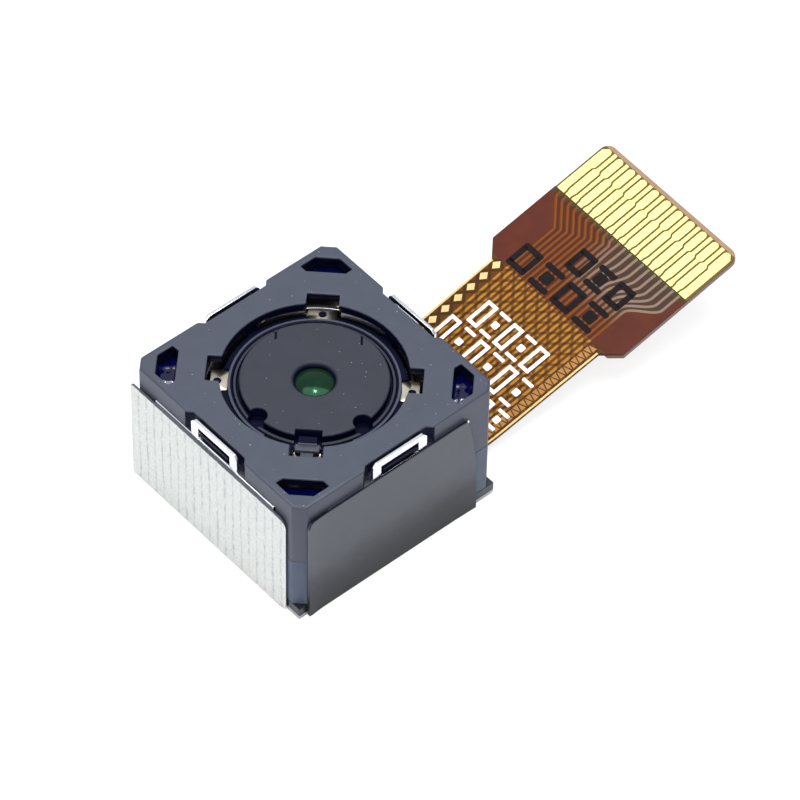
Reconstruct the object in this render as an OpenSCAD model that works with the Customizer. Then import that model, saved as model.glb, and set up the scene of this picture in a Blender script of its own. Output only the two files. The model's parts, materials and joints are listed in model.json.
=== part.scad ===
// Autofocus camera module: a lens head on a small rigid board, with a flexible printed tail
// that ends in staggered contact fingers. Millimetres.
// Frame: the origin is the centre of the head's underside, +Z points out of the lens, and
// +Y points the way that the tail leaves the head.

/* [Head] */
// Room between the motor's round opening and the head's outer faces
side_room = 0.65; // [0.6:0.01:1.4]
// Leg of the small cut on the four upright corners
corner_cut = 0.35; // [0.15:0.05:0.5]
// Thickness of the moulded side walls
wall_t = 0.3; // [0.2:0.02:0.34]
// Height of the seam between the base's corner posts and the cover's legs, above the deck
seam_h = 1.1; // [0.6:0.1:1.8]

/* [Board] */
// Thickness of the steel plate under the board
plate_t = 0.15; // [0.1:0.01:0.25]
// Thickness of the rigid board
board_t = 0.35; // [0.25:0.05:0.6]
// Width of the image sensor die, along X
sensor_w = 5.4; // [4.4:0.1:5.6]
// Depth of the image sensor die, along Y
sensor_d = 4.9; // [4:0.1:5.2]
// Thickness of the image sensor die
sensor_t = 0.2; // [0.1:0.02:0.3]
// Number of bond wires on each long side of the die
wire_count = 18; // [8:1:22]
// Diameter of a bond wire
wire_d = 0.03; // [0.02:0.005:0.05]

/* [Base housing] */
// Height of the sensor cavity under the deck
cavity_h = 0.65; // [0.5:0.05:1]
// Width of the sensor cavity
cavity_w = 7.3; // [7.1:0.1:7.6]
// Thickness of the deck that carries the filter
deck_t = 0.4; // [0.3:0.05:0.7]
// Width of the square light aperture in the deck
aperture_w = 3.9; // [3.4:0.1:4.2]
// Width of the square infrared filter
filter_w = 4.8; // [4.4:0.1:5]
// Thickness of the infrared filter
filter_t = 0.21; // [0.15:0.01:0.25]
// Gap round the filter in its recess
filter_gap = 0.05; // [0.02:0.01:0.1]
// Height of the low rim round the deck, above the deck
rim_h = 0.35; // [0.28:0.01:0.5]

/* [Lens barrel] */
// How far the barrel's round top face lies inside its thread's crest
barrel_step = 0.19; // [0.12:0.01:0.24]
// Crest radius of the barrel's outer thread
thread_r = 2.69; // [2.66:0.01:2.74]
// Depth of the barrel's outer thread
thread_depth = 0.08; // [0.04:0.01:0.12]
// Pitch of the barrel's outer thread
thread_pitch = 0.25; // [0.2:0.05:0.4]
// How far the barrel's top face lies below the cover's
barrel_recess = 0.24; // [0.24:0.01:0.35]
// Thickness of the barrel's front wall
face_t = 0.31; // [0.28:0.01:0.36]
// Radius of the light opening in the barrel's front wall
iris_r = 0.65; // [0.5:0.01:0.72]
// Radius of the opening's rim, at the front face
iris_rim_r = 0.78; // [0.74:0.01:0.9]
// Depth of the barrel's shoulder below its front face
shoulder_drop = 0.22; // [0.1:0.01:0.3]
// Radius of the two half-round tool notches in the front face
tool_notch_r = 0.33; // [0.2:0.01:0.34]
// Depth of the tool notches and the key notch
notch_depth = 0.48; // [0.3:0.02:0.6]
// Width of the square key notch in the front face
key_notch_w = 0.9; // [0.6:0.05:1]
// How far the square key notch reaches in from the face's edge
key_notch_d = 0.31; // [0.2:0.01:0.4]

/* [Lenses] */
// Edge thickness of the first lens
lens_1_t = 0.4; // [0.36:0.01:0.5]
// Edge thickness of the second lens
lens_2_t = 0.42; // [0.38:0.01:0.5]
// Edge thickness of the third lens
lens_3_t = 0.62; // [0.5:0.01:0.66]
// Edge thickness of the fourth lens
lens_4_t = 0.7; // [0.6:0.01:0.74]
// Edge radius of the first lens
lens_1_r = 1.5; // [1.4:0.01:1.56]
// Edge radius of the second lens
lens_2_r = 1.64; // [1.6:0.01:1.74]
// Edge radius of the third lens
lens_3_r = 1.9; // [1.8:0.01:2]
// Edge radius of the fourth lens
lens_4_r = 2.2; // [2.1:0.01:2.26]
// Thickness of a black light shield
shield_t = 0.03; // [0.02:0.005:0.05]
// Thickness of the spacer ring in front of the fourth lens
spacer_t = 0.35; // [0.3:0.01:0.4]
// Thickness of the retaining ring behind the fourth lens
retainer_t = 0.25; // [0.15:0.01:0.28]

/* [Board parts] */
// Length of a capacitor
cap_l = 0.6; // [0.4:0.05:0.8]
// Width of a capacitor
cap_w = 0.3; // [0.2:0.05:0.4]
// Height of a capacitor
cap_h = 0.3; // [0.2:0.05:0.4]
// Pitch of the capacitors in their rows
cap_pitch = 1.3; // [1:0.05:1.5]
// Length of the focus driver chip
chip_l = 1.4; // [1:0.05:1.8]
// Width of the focus driver chip
chip_w = 0.7; // [0.5:0.05:0.9]
// Height of the focus driver chip
chip_h = 0.3; // [0.2:0.05:0.4]

/* [Focus motor] */
// Focus travel of the lens carrier, from its lower stop
travel = 0.22; // [0.1:0.01:0.22]
// Wall of the lens carrier behind the coil
carrier_wall = 0.27; // [0.22:0.01:0.3]
// Wall of the carrier's thin collar round the barrel's head
collar_t = 0.17; // [0.12:0.01:0.2]
// Radial thickness of the coil
coil_t = 0.23; // [0.15:0.01:0.26]
// Height of the coil
coil_h = 1.85; // [1.4:0.05:1.9]
// Height of the carrier's feet, from the deck to the carrier's lower flange
foot_h = 0.24; // [0.2:0.01:0.3]
// Thickness of the carrier's lower flange
lower_flange_t = 0.41; // [0.3:0.01:0.5]
// Thickness of the carrier's upper flange
upper_flange_t = 0.25; // [0.15:0.01:0.35]
// Thickness of a leaf spring
spring_t = 0.04; // [0.03:0.005:0.06]
// Width of a leaf spring's arm
arm_w = 0.07; // [0.05:0.01:0.08]
// Width of the upper spring's straight side strips
strip_w = 0.16; // [0.1:0.01:0.2]
// Width of the upper spring's four tabs
tab_w = 1.04; // [0.9:0.02:1.1]
// Width of the carrier's key at its middle step
key_w = 0.8; // [0.6:0.02:0.84]
// Width of the carrier's key at its ends
key_end_w = 0.42; // [0.3:0.02:0.5]
// Running gap between the carrier's flanges and the magnets
magnet_gap = 0.1; // [0.08:0.01:0.14]
// Half of a magnet's length along its side
magnet_half = 2.7; // [2.2:0.1:2.9]

/* [Yoke] */
// Sheet thickness of the yoke
sheet_t = 0.12; // [0.08:0.01:0.15]
// How far the yoke's side plates stand out from the moulded walls
yoke_proud = 0.06; // [0.02:0.01:0.09]
// Half of the width of a yoke side plate
yoke_half = 3.0; // [2.9:0.05:3.2]
// Half of the width of a snap loop
loop_half = 1.15; // [1:0.05:1.25]
// Width of a snap loop's legs
loop_leg = 0.4; // [0.3:0.01:0.45]
// Height of the bar across the top of a snap loop
loop_bar = 0.36; // [0.25:0.01:0.4]

/* [Cover] */
// Thickness of the cover's top wall
cover_t = 0.35; // [0.3:0.01:0.5]
// Radius of the round opening in the cover
opening_r = 3.15; // [3.1:0.01:3.25]
// Distance from the axis to the outer wall of the four diagonal notches in the opening
diagonal_notch_out = 3.58; // [3.55:0.01:3.7]
// Width of the four diagonal notches
diagonal_notch_w = 1.1; // [1:0.05:1.2]
// Depth of the notch in the middle of each edge
edge_notch_d = 0.19; // [0.19:0.005:0.2]
// Half of the width of an edge notch at its inner wall
edge_notch_half = 1.3; // [1.25:0.05:1.5]
// Rim left outside a corner pocket
pocket_rim = 0.27; // [0.2:0.01:0.35]
// Length of a corner pocket along each edge
pocket_len = 1.23; // [1:0.01:1.3]
// Width of a corner pocket's narrow ends
pocket_end = 0.3; // [0.2:0.01:0.4]

/* [Wraps] */
// Thickness of the ribbed silver tape on the -Y side
tape_t = 0.08; // [0.06:0.01:0.12]
// Pitch of the tape's ribs
tape_rib = 0.405; // [0.3:0.005:0.6]
// Height of the tape
tape_h = 4.35; // [3.8:0.05:4.4]
// Thickness of the black film on the +X side
film_t = 0.06; // [0.04:0.01:0.1]
// Height of the black film
film_h = 4.58; // [3.9:0.01:4.6]

/* [Flexible tail] */
// Width of the tail's neck
neck_w = 5.4; // [4:0.1:6]
// Width of the tail's contact end
tail_w = 6.6; // [6.6:0.1:8]
// Thickness of the tail's base film
flex_t = 0.09; // [0.06:0.01:0.1]
// Thickness of the coverlay film over the traces
coverlay_t = 0.03; // [0.02:0.005:0.05]
// Thickness of the stiffener under the contact end
tail_plate_t = 0.18; // [0.1:0.01:0.25]
// Height of the tail's middle plane where it leaves the board
tail_z = 0.3; // [0.28:0.01:0.36]
// Sideways offset of the tail
tail_x = 0.09; // [-0.2:0.01:0.3]
// Upward slope of the tail, in degrees
tail_slope = 12.8; // [0:0.2:20]
// Radius of the gentle bend at the tail's root
tail_bend_r = 8; // [3:0.5:20]
// Twist of the tail along its neck, in degrees
tail_twist = -4; // [-6:0.5:6]
// Length along the tail from the board to the stiffener's edge
neck_len = 6.3; // [4.5:0.1:9]
// Length along the tail from the board to the coverlay's edge
coverlay_len = 9.64; // [9.6:0.02:13]
// Length along the tail from the board to its tip
tail_len = 12.14; // [12.1:0.02:16]
// Length of the shoulders between neck and contact end
shoulder_len = 0.6; // [0.3:0.05:0.8]
// Radius of the tip's two corners
tip_r = 0.35; // [0.1:0.05:0.6]
// How deep the tail's root lies in the board's edge
root_len = 0.6; // [0.3:0.05:0.9]
// Number of contacts, in two staggered rows
contact_count = 21; // [5:2:21]
// Pitch of the contacts
contact_pitch = 0.3; // [0.2:0.005:0.3]
// Thickness of a contact's plated copper
contact_t = 0.02; // [0.01:0.005:0.03]
// Gap between two contacts
contact_gap = 0.05; // [0.03:0.005:0.08]
// Width of a contact's narrow stretch
contact_narrow = 0.15; // [0.08:0.01:0.18]

/* [Hidden] */
$fn = 96;

// Small clearances
fit_gap = 0.01;
slip_gap = 0.05;
eps = 0.01;

// Heights, from the underside up
board_top = plate_t + board_t;
deck_bottom = board_top + cavity_h;
deck_top = deck_bottom + deck_t;
rim_top = deck_top + rim_h;
seam_z = deck_top + seam_h;
flange_bottom = deck_top + foot_h;
seat_top = flange_bottom - spring_t;
coil_bottom = flange_bottom + lower_flange_t;
coil_top = coil_bottom + coil_h;
flange_top = coil_top + upper_flange_t;
shoulder_h = 0.42;
upper_spring_z = flange_top + shoulder_h;
frame_t = 0.07;
yoke_top = upper_spring_z - frame_t;
stop_rise = 0.08;
stop_top = upper_spring_z + stop_rise;
stop_gap = 0.03;
cover_under = stop_top + travel + stop_gap;
head_h = cover_under + cover_t;
lip_rise = 0.01;
lip_h = 0.08;

// Barrel and lens stack, from the front face down
barrel_top = head_h - barrel_recess;
barrel_r = thread_r - barrel_step;
key_notch_in = barrel_r - key_notch_d;
lens_1_top = barrel_top - face_t;
shield_1_top = lens_1_top - lens_1_t;
lens_2_top = shield_1_top - shield_t;
shield_2_top = lens_2_top - lens_2_t;
lens_3_top = shield_2_top - shield_t;
spacer_top = lens_3_top - lens_3_t;
lens_4_top = spacer_top - spacer_t;
retainer_top = lens_4_top - lens_4_t;
retainer_bottom = retainer_top - retainer_t;
barrel_foot = 0.1;
barrel_bottom = retainer_bottom - barrel_foot;
bore_gap = 0.02;

// Radii of the focus motor
bore_r = thread_r + fit_gap;
collar_r = bore_r + collar_t;
winding_r = bore_r + carrier_wall;
coil_r = winding_r + coil_t;
flange_r = coil_r + 0.1;
magnet_r = flange_r + magnet_gap;
yoke_open_r = magnet_r + 0.2;
seat_r = yoke_open_r + 0.02;
shoulder_r = collar_r + 0.23;
stop_r = flange_r + 0.05;
lug_r = flange_r + 0.15;
lug_w = 0.9;
stop_lug_w = 0.5;
collar_top = barrel_top - shoulder_drop + 0.01;
key_in = barrel_r - 0.02;
key_r = collar_r + 0.45;
foot_angle = 14;

// Sideways sizes of the head
half = yoke_open_r + side_room;
head_w = 2 * half;
inner_half = half - wall_t;
inner_cut = corner_cut + 0.15;
frame_half = inner_half - slip_gap;
frame_cut = inner_cut + 0.1;
leg_from = yoke_half + slip_gap;
yoke_out = half + yoke_proud;
yoke_in = yoke_out - sheet_t;

// Posts that hold the leaf springs
post_xy = inner_half - 0.5;
post_r = 0.14;
post_gap = 0.01;
post_head_r = 0.22;
post_head_h = 0.17;
peg_h = 0.15;

// Where the leaf springs' corner pads start, from the middle lines
pad_from = 0.677 * seat_r;

// Leaf spring arms: two arcs joined by a turn
lower_arm_1 = flange_r + 0.06;
lower_arm_2 = lower_arm_1 + 0.15;
upper_ring_in = collar_r + fit_gap;
upper_arm_1 = shoulder_r + 0.15;
upper_arm_2 = yoke_open_r - 0.15;
arm_angle = 2.2;

// Terminals on the -X side
terminal_y = 1.2;
terminal_w = 0.5;
terminal_t = 0.08;
terminal_in = inner_half - 0.25;
solder_d = 0.2;

// Edge notches, snap loops and the nubs that they catch
notch_wall = half - edge_notch_d;
loop_hole_half = loop_half - loop_leg;
loop_sill = 0.07;
nub_gap = 0.03;
nub_out = yoke_out - 0.02;

// Pockets above the spring posts
pocket_out = half - pocket_rim;
pocket_in = pocket_out - pocket_len;
pocket_cut = pocket_len - 0.65;

// Components on the board
wire_pad = 0.25;
wire_rise = 0.12;
wire_pitch = (sensor_d - 0.5) / (wire_count - 1);
cap_size = [cap_l, cap_w, cap_h];
chip_size = [chip_l, chip_w, chip_h];
row_y = (sensor_d / 2 + cavity_w / 2) / 2;

// Tail: where its stations lie along its length
tail_y = half;
bend_len = tail_bend_r * tail_slope * PI / 180;
shoulder_from = neck_len - 0.2;
shoulder_to = shoulder_from + shoulder_len;
contact_from = coverlay_len + 0.01;
contact_to = tail_len - 0.27;
contact_mid = contact_from + (contact_to - contact_from) * 0.665;
contact_wide = 2 * contact_pitch - contact_narrow - 2 * contact_gap;

// Colours, as the object shows them
black_plastic = "#4A4F57";
amber = "#B4761C";
maroon = "#5E3327";
gold = "#F4E3A0";
steel = "#C9CCD0";
spring_metal = "#D8C9A8";

// A square with its four corners cut off
module cut_square(w, c) {
    h = w / 2;
    polygon([
        [h - c, -h], [h, c - h], [h, h - c], [h - c, h],
        [c - h, h], [-h, h - c], [-h, c - h], [c - h, -h]
    ]);
}

// Copies of the children on the four sides
module on_sides() {
    for (a = [0:90:270]) rotate(a) children();
}

// Copies of the children on the four diagonals
module on_corners() {
    for (a = [45:90:315]) rotate(a) children();
}

// The four corner squares beyond a distance from both middle lines
module corner_zones(from, to = 2 * half) {
    for (sx = [-1, 1], sy = [-1, 1])
        scale([sx, sy]) translate([from, from]) square(to - from);
}

// A flat ring
module ring(r_in, r_out) {
    difference() {
        circle(r_out);
        circle(r_in);
    }
}

// The part of a flat ring between two angles
module ring_sector(r_in, r_out, a_from, a_to) {
    steps = 6;
    reach = 2 * r_out;
    intersection() {
        ring(r_in, r_out);
        polygon([
            [0, 0],
            for (i = [0:steps])
                let (a = a_from + (a_to - a_from) * i / steps) reach * [cos(a), sin(a)]
        ]);
    }
}

// A plate of a given thickness that starts at a height
module plate(z_from, z_to) {
    translate([0, 0, z_from]) linear_extrude(z_to - z_from) children();
}

// Points along an arc about the origin
function arc(r, a_from, a_to, n = 10) =
    [for (i = [0:n]) let (a = a_from + (a_to - a_from) * i / n) r * [cos(a), sin(a)]];

// One arm of a leaf spring: out from its inner end, along an arc, round a turn, back along
// a wider arc, and out to its outer end
module spring_arm(a_in, a_turn, a_out, r_in, r_1, r_2, r_out) {
    w = arm_w / 2;
    polygon(concat(
        arc(r_in, a_in + arm_angle, a_in, 1),
        arc(r_1 + w, a_in, a_turn - arm_angle),
        arc(r_2 - w, a_turn - arm_angle, a_out),
        arc(r_out, a_out, a_out + arm_angle, 1),
        arc(r_2 + w, a_out + arm_angle, a_turn),
        arc(r_1 - w, a_turn, a_in + arm_angle)
    ));
}

// Steel plate that backs the board
module stiffener_plate() {
    color(steel) plate(0, plate_t) square(head_w, center = true);
}

// Rigid board, with a slot for the tail's root and two soldered edge notches
module circuit_board() {
    color("#2B332E") difference() {
        plate(plate_t, board_top) square(head_w, center = true);
        translate([tail_x - neck_w / 2 - fit_gap, half - root_len, tail_z - flex_t / 2 - fit_gap])
            cube([neck_w + 2 * fit_gap, root_len + 1, flex_t + 2 * fit_gap]);
        for (sy = [-1, 1])
            translate([-half - 1, sy * terminal_y - terminal_w / 2 - slip_gap, plate_t - eps])
                cube([1 + solder_d, terminal_w + 2 * slip_gap, board_t + 2 * eps]);
    }
}

// Image sensor die
module image_sensor() {
    color("#2A3A46") plate(board_top, board_top + sensor_t)
        square([sensor_w, sensor_d], center = true);
}

// Gold bond wires from the die to the board, along its two long sides
module bond_wires() {
    foot = 0.3;
    top = board_top + sensor_t;
    x_die = sensor_w / 2 - 0.12;
    x_board = sensor_w / 2 + foot;
    color(gold)
        for (sx = [-1, 1], i = [0:wire_count - 1])
            scale([sx, 1, 1])
                translate([0, (i - (wire_count - 1) / 2) * wire_pitch + wire_d / 2, 0])
                    rotate([90, 0, 0])
                        linear_extrude(wire_d)
                            polygon([
                                [x_die, top], [x_die + wire_d, top],
                                [x_die + wire_d, top + wire_rise - wire_d],
                                [x_die + wire_pad, top + wire_rise - wire_d],
                                [x_board - wire_d, board_top], [x_board, board_top],
                                [x_die + wire_pad + wire_d, top + wire_rise],
                                [x_die, top + wire_rise]
                            ]);
}

// Small decoupling capacitors beside the die
module capacitors() {
    color("#B79A72")
        for (p = [[-1.7, -1], [-0.7, -1], [0.3, -1], [1.3, -1], [-1.55, 1], [-0.6, 1]])
            translate([p[0] * cap_pitch, p[1] * row_y, board_top + cap_size[2] / 2])
                cube(cap_size, center = true);
}

// Focus driver chip
module driver_chip() {
    color("#26282B")
        translate([chip_l, row_y, board_top + chip_size[2] / 2])
            cube(chip_size, center = true);
}

// Moulded base: sensor cavity below, deck with the filter's seat, corner seats for the lower
// leaf springs, and posts that carry the cover's legs
module base_housing() {
    filter_seat = deck_top - filter_t - 0.04;
    color(black_plastic) {
        difference() {
            union() {
                plate(board_top, rim_top) cut_square(head_w, corner_cut);
                plate(board_top, seam_z) intersection() {
                    cut_square(head_w, corner_cut);
                    corner_zones(leg_from);
                }
            }
            plate(board_top - eps, deck_bottom) square(cavity_w, center = true);
            plate(deck_bottom - eps, deck_top) square(aperture_w, center = true);
            plate(filter_seat, deck_top + eps)
                square(filter_w + 2 * filter_gap, center = true);
            plate(deck_top, seat_top + eps) difference() {
                cut_square(2 * inner_half, inner_cut);
                spring_seats();
                terminal_shelves();
            }
            plate(seat_top, seam_z + eps) cut_square(2 * inner_half, inner_cut);
            plate(seat_top - terminal_t, seat_top + eps) terminal_shelves(slip_gap);
            terminal_grooves();
        }
        for (sx = [-1, 1], sy = [-1, 1])
            translate([sx * post_xy, sy * post_xy, seat_top - eps])
                cylinder(h = peg_h + eps, r = post_r);
    }
}

// Corner pads on the deck, as a flat outline
module spring_seats() {
    difference() {
        corner_zones(pad_from - 0.15, inner_half + eps);
        circle(seat_r);
    }
}

// Shelves that the terminals' inner ends lie on, as a flat outline
module terminal_shelves(extra = 0) {
    for (sy = [-1, 1])
        translate([-inner_half - eps, sy * terminal_y - terminal_w / 2 - extra])
            square([inner_half - terminal_in + eps, terminal_w + 2 * extra]);
}

// Grooves down the outside of the -X wall, and the slots above them
module terminal_grooves() {
    for (sy = [-1, 1])
        translate([0, sy * terminal_y, 0]) {
            translate([-half - 1, -terminal_w / 2 - fit_gap, board_top - eps])
                cube([1 + terminal_t, terminal_w + 2 * fit_gap, seat_top - board_top + eps]);
            translate([-half - 1, -terminal_w / 2 - fit_gap, seat_top - terminal_t])
                cube([1 + wall_t + eps, terminal_w + 2 * fit_gap, terminal_t]);
        }
}

// Infrared filter glass
module ir_filter() {
    bottom = deck_top - filter_t - 0.04;
    color("#7FB6A8") plate(bottom, bottom + filter_t) square(filter_w, center = true);
}

// Two tinned terminals that bring the coil's current in from the board
module coil_terminals() {
    color(steel)
        for (sy = [-1, 1])
            translate([0, sy * terminal_y + terminal_w / 2, 0])
                rotate([90, 0, 0])
                    linear_extrude(terminal_w)
                        polygon([
                            [-half, board_top - 0.1], [terminal_t - half, board_top - 0.1],
                            [terminal_t - half, seat_top - terminal_t],
                            [-terminal_in, seat_top - terminal_t],
                            [-terminal_in, seat_top], [-half, seat_top]
                        ]);
}

// Solder in the board's edge notches
module solder_joints() {
    color("#DDE0E2")
        for (sy = [-1, 1])
            translate([0, sy * terminal_y + terminal_w / 2, 0])
                rotate([90, 0, 0])
                    linear_extrude(terminal_w)
                        polygon([
                            [-half, plate_t], [solder_d - half, plate_t],
                            [solder_d - half, board_top], [terminal_t - half, board_top],
                            [terminal_t - half, board_top - 0.1], [-half, board_top - 0.1]
                        ]);
}

// One half of the lower leaf spring pair, drawn for the +Y half
module lower_spring_half() {
    split = 0.12;
    plate(seat_top, flange_bottom) difference() {
        union() {
            intersection() {
                ring(bore_r + 0.28, flange_r - 0.02);
                translate([-2 * half, split]) square(4 * half);
            }
            for (flip = [0, 1]) mirror([flip, 0]) {
                spring_arm(14, 76, 44, bore_r + 0.4, lower_arm_1, lower_arm_2, seat_r + 0.06);
                difference() {
                    intersection() {
                        cut_square(2 * frame_half, frame_cut);
                        translate([pad_from, pad_from]) square(half);
                    }
                    circle(seat_r + 0.02);
                }
            }
            // Strip that reaches the terminal on the -X side
            translate([-frame_half, terminal_y - terminal_w / 2])
                square([frame_half - terminal_in, pad_from + 0.1 - terminal_y + terminal_w / 2]);
        }
        for (sx = [-1, 1])
            translate([sx * post_xy, post_xy]) circle(post_r + post_gap);
    }
}

module lower_spring_front() {
    color(spring_metal) mirror([0, 1, 0]) lower_spring_half();
}

module lower_spring_back() {
    color(spring_metal) lower_spring_half();
}

// A snap loop, as a flat outline: x across, y up
module loop_outline() {
    bevel = 0.15;
    difference() {
        polygon([
            [-loop_half, yoke_top - eps], [loop_half, yoke_top - eps],
            [loop_half, head_h - bevel], [loop_half - bevel, head_h],
            [bevel - loop_half, head_h], [-loop_half, head_h - bevel]
        ]);
        translate([-loop_hole_half, yoke_top + loop_sill])
            square([2 * loop_hole_half, head_h - loop_bar - yoke_top - loop_sill]);
    }
}

// Steel yoke: a flat frame with a side plate and a snap loop on each side
module yoke() {
    color(steel) {
        plate(yoke_top - sheet_t, yoke_top) difference() {
            union() {
                cut_square(2 * frame_half, frame_cut + 0.2);
                on_sides() translate([0, -yoke_half]) square([yoke_out, 2 * yoke_half]);
            }
            circle(yoke_open_r);
        }
        on_sides()
            translate([yoke_in, 0, 0])
                rotate([90, 0, 90])
                    linear_extrude(sheet_t) {
                        translate([-yoke_half, rim_top])
                            square([2 * yoke_half, yoke_top - rim_top]);
                        loop_outline();
                    }
    }
}

// A bar magnet with a hollow inner face, drawn for the +X side
module magnet() {
    mitre = 0.8;
    inner = 2.75;
    color("#8C9096") plate(coil_bottom, yoke_top - sheet_t) difference() {
        polygon([
            [inner, magnet_half - mitre], [inner + mitre, magnet_half], [yoke_in, magnet_half],
            [yoke_in, -magnet_half], [inner + mitre, -magnet_half], [inner, mitre - magnet_half]
        ]);
        circle(magnet_r);
    }
}

module magnet_right() {
    magnet();
}

module magnet_back() {
    rotate(90) magnet();
}

module magnet_left() {
    rotate(180) magnet();
}

module magnet_front() {
    rotate(270) magnet();
}

// Moulded frame that spaces the upper spring from the yoke, with staked posts at its corners
module spring_frame() {
    head_z = upper_spring_z + spring_t;
    color("#3A3E45") {
        plate(yoke_top, upper_spring_z) difference() {
            cut_square(2 * frame_half, frame_cut);
            circle(yoke_open_r + slip_gap);
        }
        for (sx = [-1, 1], sy = [-1, 1])
            translate([sx * post_xy, sy * post_xy, 0])
                rotate_extrude($fn = 32)
                    polygon([
                        [0, upper_spring_z - eps], [post_r, upper_spring_z - eps],
                        [post_r, head_z], [post_head_r, head_z],
                        [post_head_r - 0.03, head_z + post_head_h * 0.6],
                        [post_head_r - 0.12, head_z + post_head_h * 0.92],
                        [0, head_z + post_head_h]
                    ]);
    }
}

// Upper leaf spring: outer frame with corner pads, four arms, and an inner ring with tabs
module upper_spring() {
    tab_in = shoulder_r - 0.05;
    tab_angle = 8;
    window_half = 0.8 * pad_from;
    color(spring_metal) plate(upper_spring_z, upper_spring_z + spring_t) difference() {
        union() {
            ring(upper_ring_in, shoulder_r);
            on_corners() translate([tab_in, -tab_w / 2]) square([lug_r - tab_in, tab_w]);
            on_corners()
                spring_arm(tab_angle - 2, 36, 9, tab_in, upper_arm_1, upper_arm_2, seat_r + 0.1);
            difference() {
                cut_square(2 * frame_half, frame_cut);
                circle(seat_r + 0.03);
                on_sides() translate([0, -window_half])
                    square([frame_half - strip_w, 2 * window_half]);
            }
        }
        on_corners() translate([shoulder_r + 0.12, 0]) circle(post_r);
        for (sx = [-1, 1], sy = [-1, 1])
            translate([sx * post_xy, sy * post_xy]) circle(post_r + post_gap);
        rotate(-45) translate([0, -key_end_w / 2 - fit_gap])
            square([key_r + fit_gap, key_end_w + 2 * fit_gap]);
    }
}

// Pocket above a spring post, as a flat outline for the (+X, +Y) corner
module pocket_outline() {
    polygon([
        [pocket_in, pocket_out], [pocket_out - pocket_cut, pocket_out],
        [pocket_out, pocket_out - pocket_cut], [pocket_out, pocket_in],
        [pocket_out - pocket_end, pocket_in], [pocket_in, pocket_out - pocket_end]
    ]);
}

// Moulded top cover: top wall with the lens opening, side band, four corner legs, and a nub
// in each edge notch that the yoke's loop snaps over
module top_cover() {
    flare = 0.2;
    nub_top = head_h - loop_bar - nub_gap;
    nub_bottom = yoke_top + loop_sill + nub_gap;
    color(black_plastic) {
        difference() {
            union() {
                plate(cover_under, head_h) cut_square(head_w, corner_cut);
                plate(yoke_top, head_h) cover_wall();
                plate(seam_z, head_h) intersection() {
                    cover_wall();
                    corner_zones(leg_from);
                }
            }
            plate(cover_under - eps, head_h + eps) {
                circle(opening_r);
                on_corners()
                    translate([0, -diagonal_notch_w / 2])
                        square([diagonal_notch_out, diagonal_notch_w]);
                for (sx = [-1, 1], sy = [-1, 1]) scale([sx, sy]) pocket_outline();
            }
            plate(yoke_top - eps, head_h + eps) on_sides()
                polygon([
                    [notch_wall, -edge_notch_half], [half + eps, -edge_notch_half - flare],
                    [half + eps, edge_notch_half + flare], [notch_wall, edge_notch_half]
                ]);
        }
        on_sides()
            translate([0, loop_hole_half - nub_gap, 0])
                rotate([90, 0, 0])
                    linear_extrude(2 * (loop_hole_half - nub_gap))
                        polygon([
                            [notch_wall - slip_gap, nub_bottom], [notch_wall + 0.03, nub_bottom],
                            [nub_out, nub_bottom + 0.12], [nub_out, nub_top],
                            [notch_wall - slip_gap, nub_top]
                        ]);
    }
}

// The cover's upright wall, as a flat outline
module cover_wall() {
    difference() {
        cut_square(head_w, corner_cut);
        cut_square(2 * inner_half, inner_cut);
    }
}

// Ribbed conductive tape wrapped on the -Y side
module silver_tape() {
    left = -half + 0.03;
    right = half - 0.6;
    foot_right = right - 0.13;
    bottom = 0.03;
    round_r = 0.35;
    rib_h = 0.2 * tape_t;
    ribs = floor((right - left) / tape_rib);
    color("#DCDFDE") intersection() {
        plate(bottom, bottom + tape_h)
            polygon([
                [left, -yoke_out], [right, -yoke_out],
                for (i = [ribs:-1:0])
                    for (side = [1, 0])
                        let (x = left + (i + 0.5 * side) * tape_rib)
                            [min(x, right), -yoke_out - tape_t + side * rib_h]
            ]);
        translate([0, 0, 0]) rotate([90, 0, 0]) linear_extrude(2 * half) {
            hull() {
                translate([left, bottom]) square(0.01);
                translate([foot_right, bottom]) square(0.01);
                translate([left, bottom + tape_h - 0.01]) square(0.01);
                translate([right - round_r, bottom + tape_h - round_r])
                    circle(round_r, $fn = 24);
            }
        }
    }
}

// Thin black film wrapped on the +X side
module black_film() {
    near = -half + 0.31;
    far = half - 1.35;
    far_foot = far + 0.44;
    slant = 0.14;
    bottom = 0.03;
    round_r = 0.22;
    color("#55585C") translate([yoke_out, 0, 0]) rotate([90, 0, 90]) linear_extrude(film_t)
        hull() {
            translate([near, bottom]) square(0.01);
            translate([far_foot, bottom]) square(0.01);
            translate([near + round_r, bottom + film_h - slant - round_r])
                circle(round_r, $fn = 24);
            translate([far - round_r, bottom + film_h - round_r]) circle(round_r, $fn = 24);
        }
}

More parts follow.
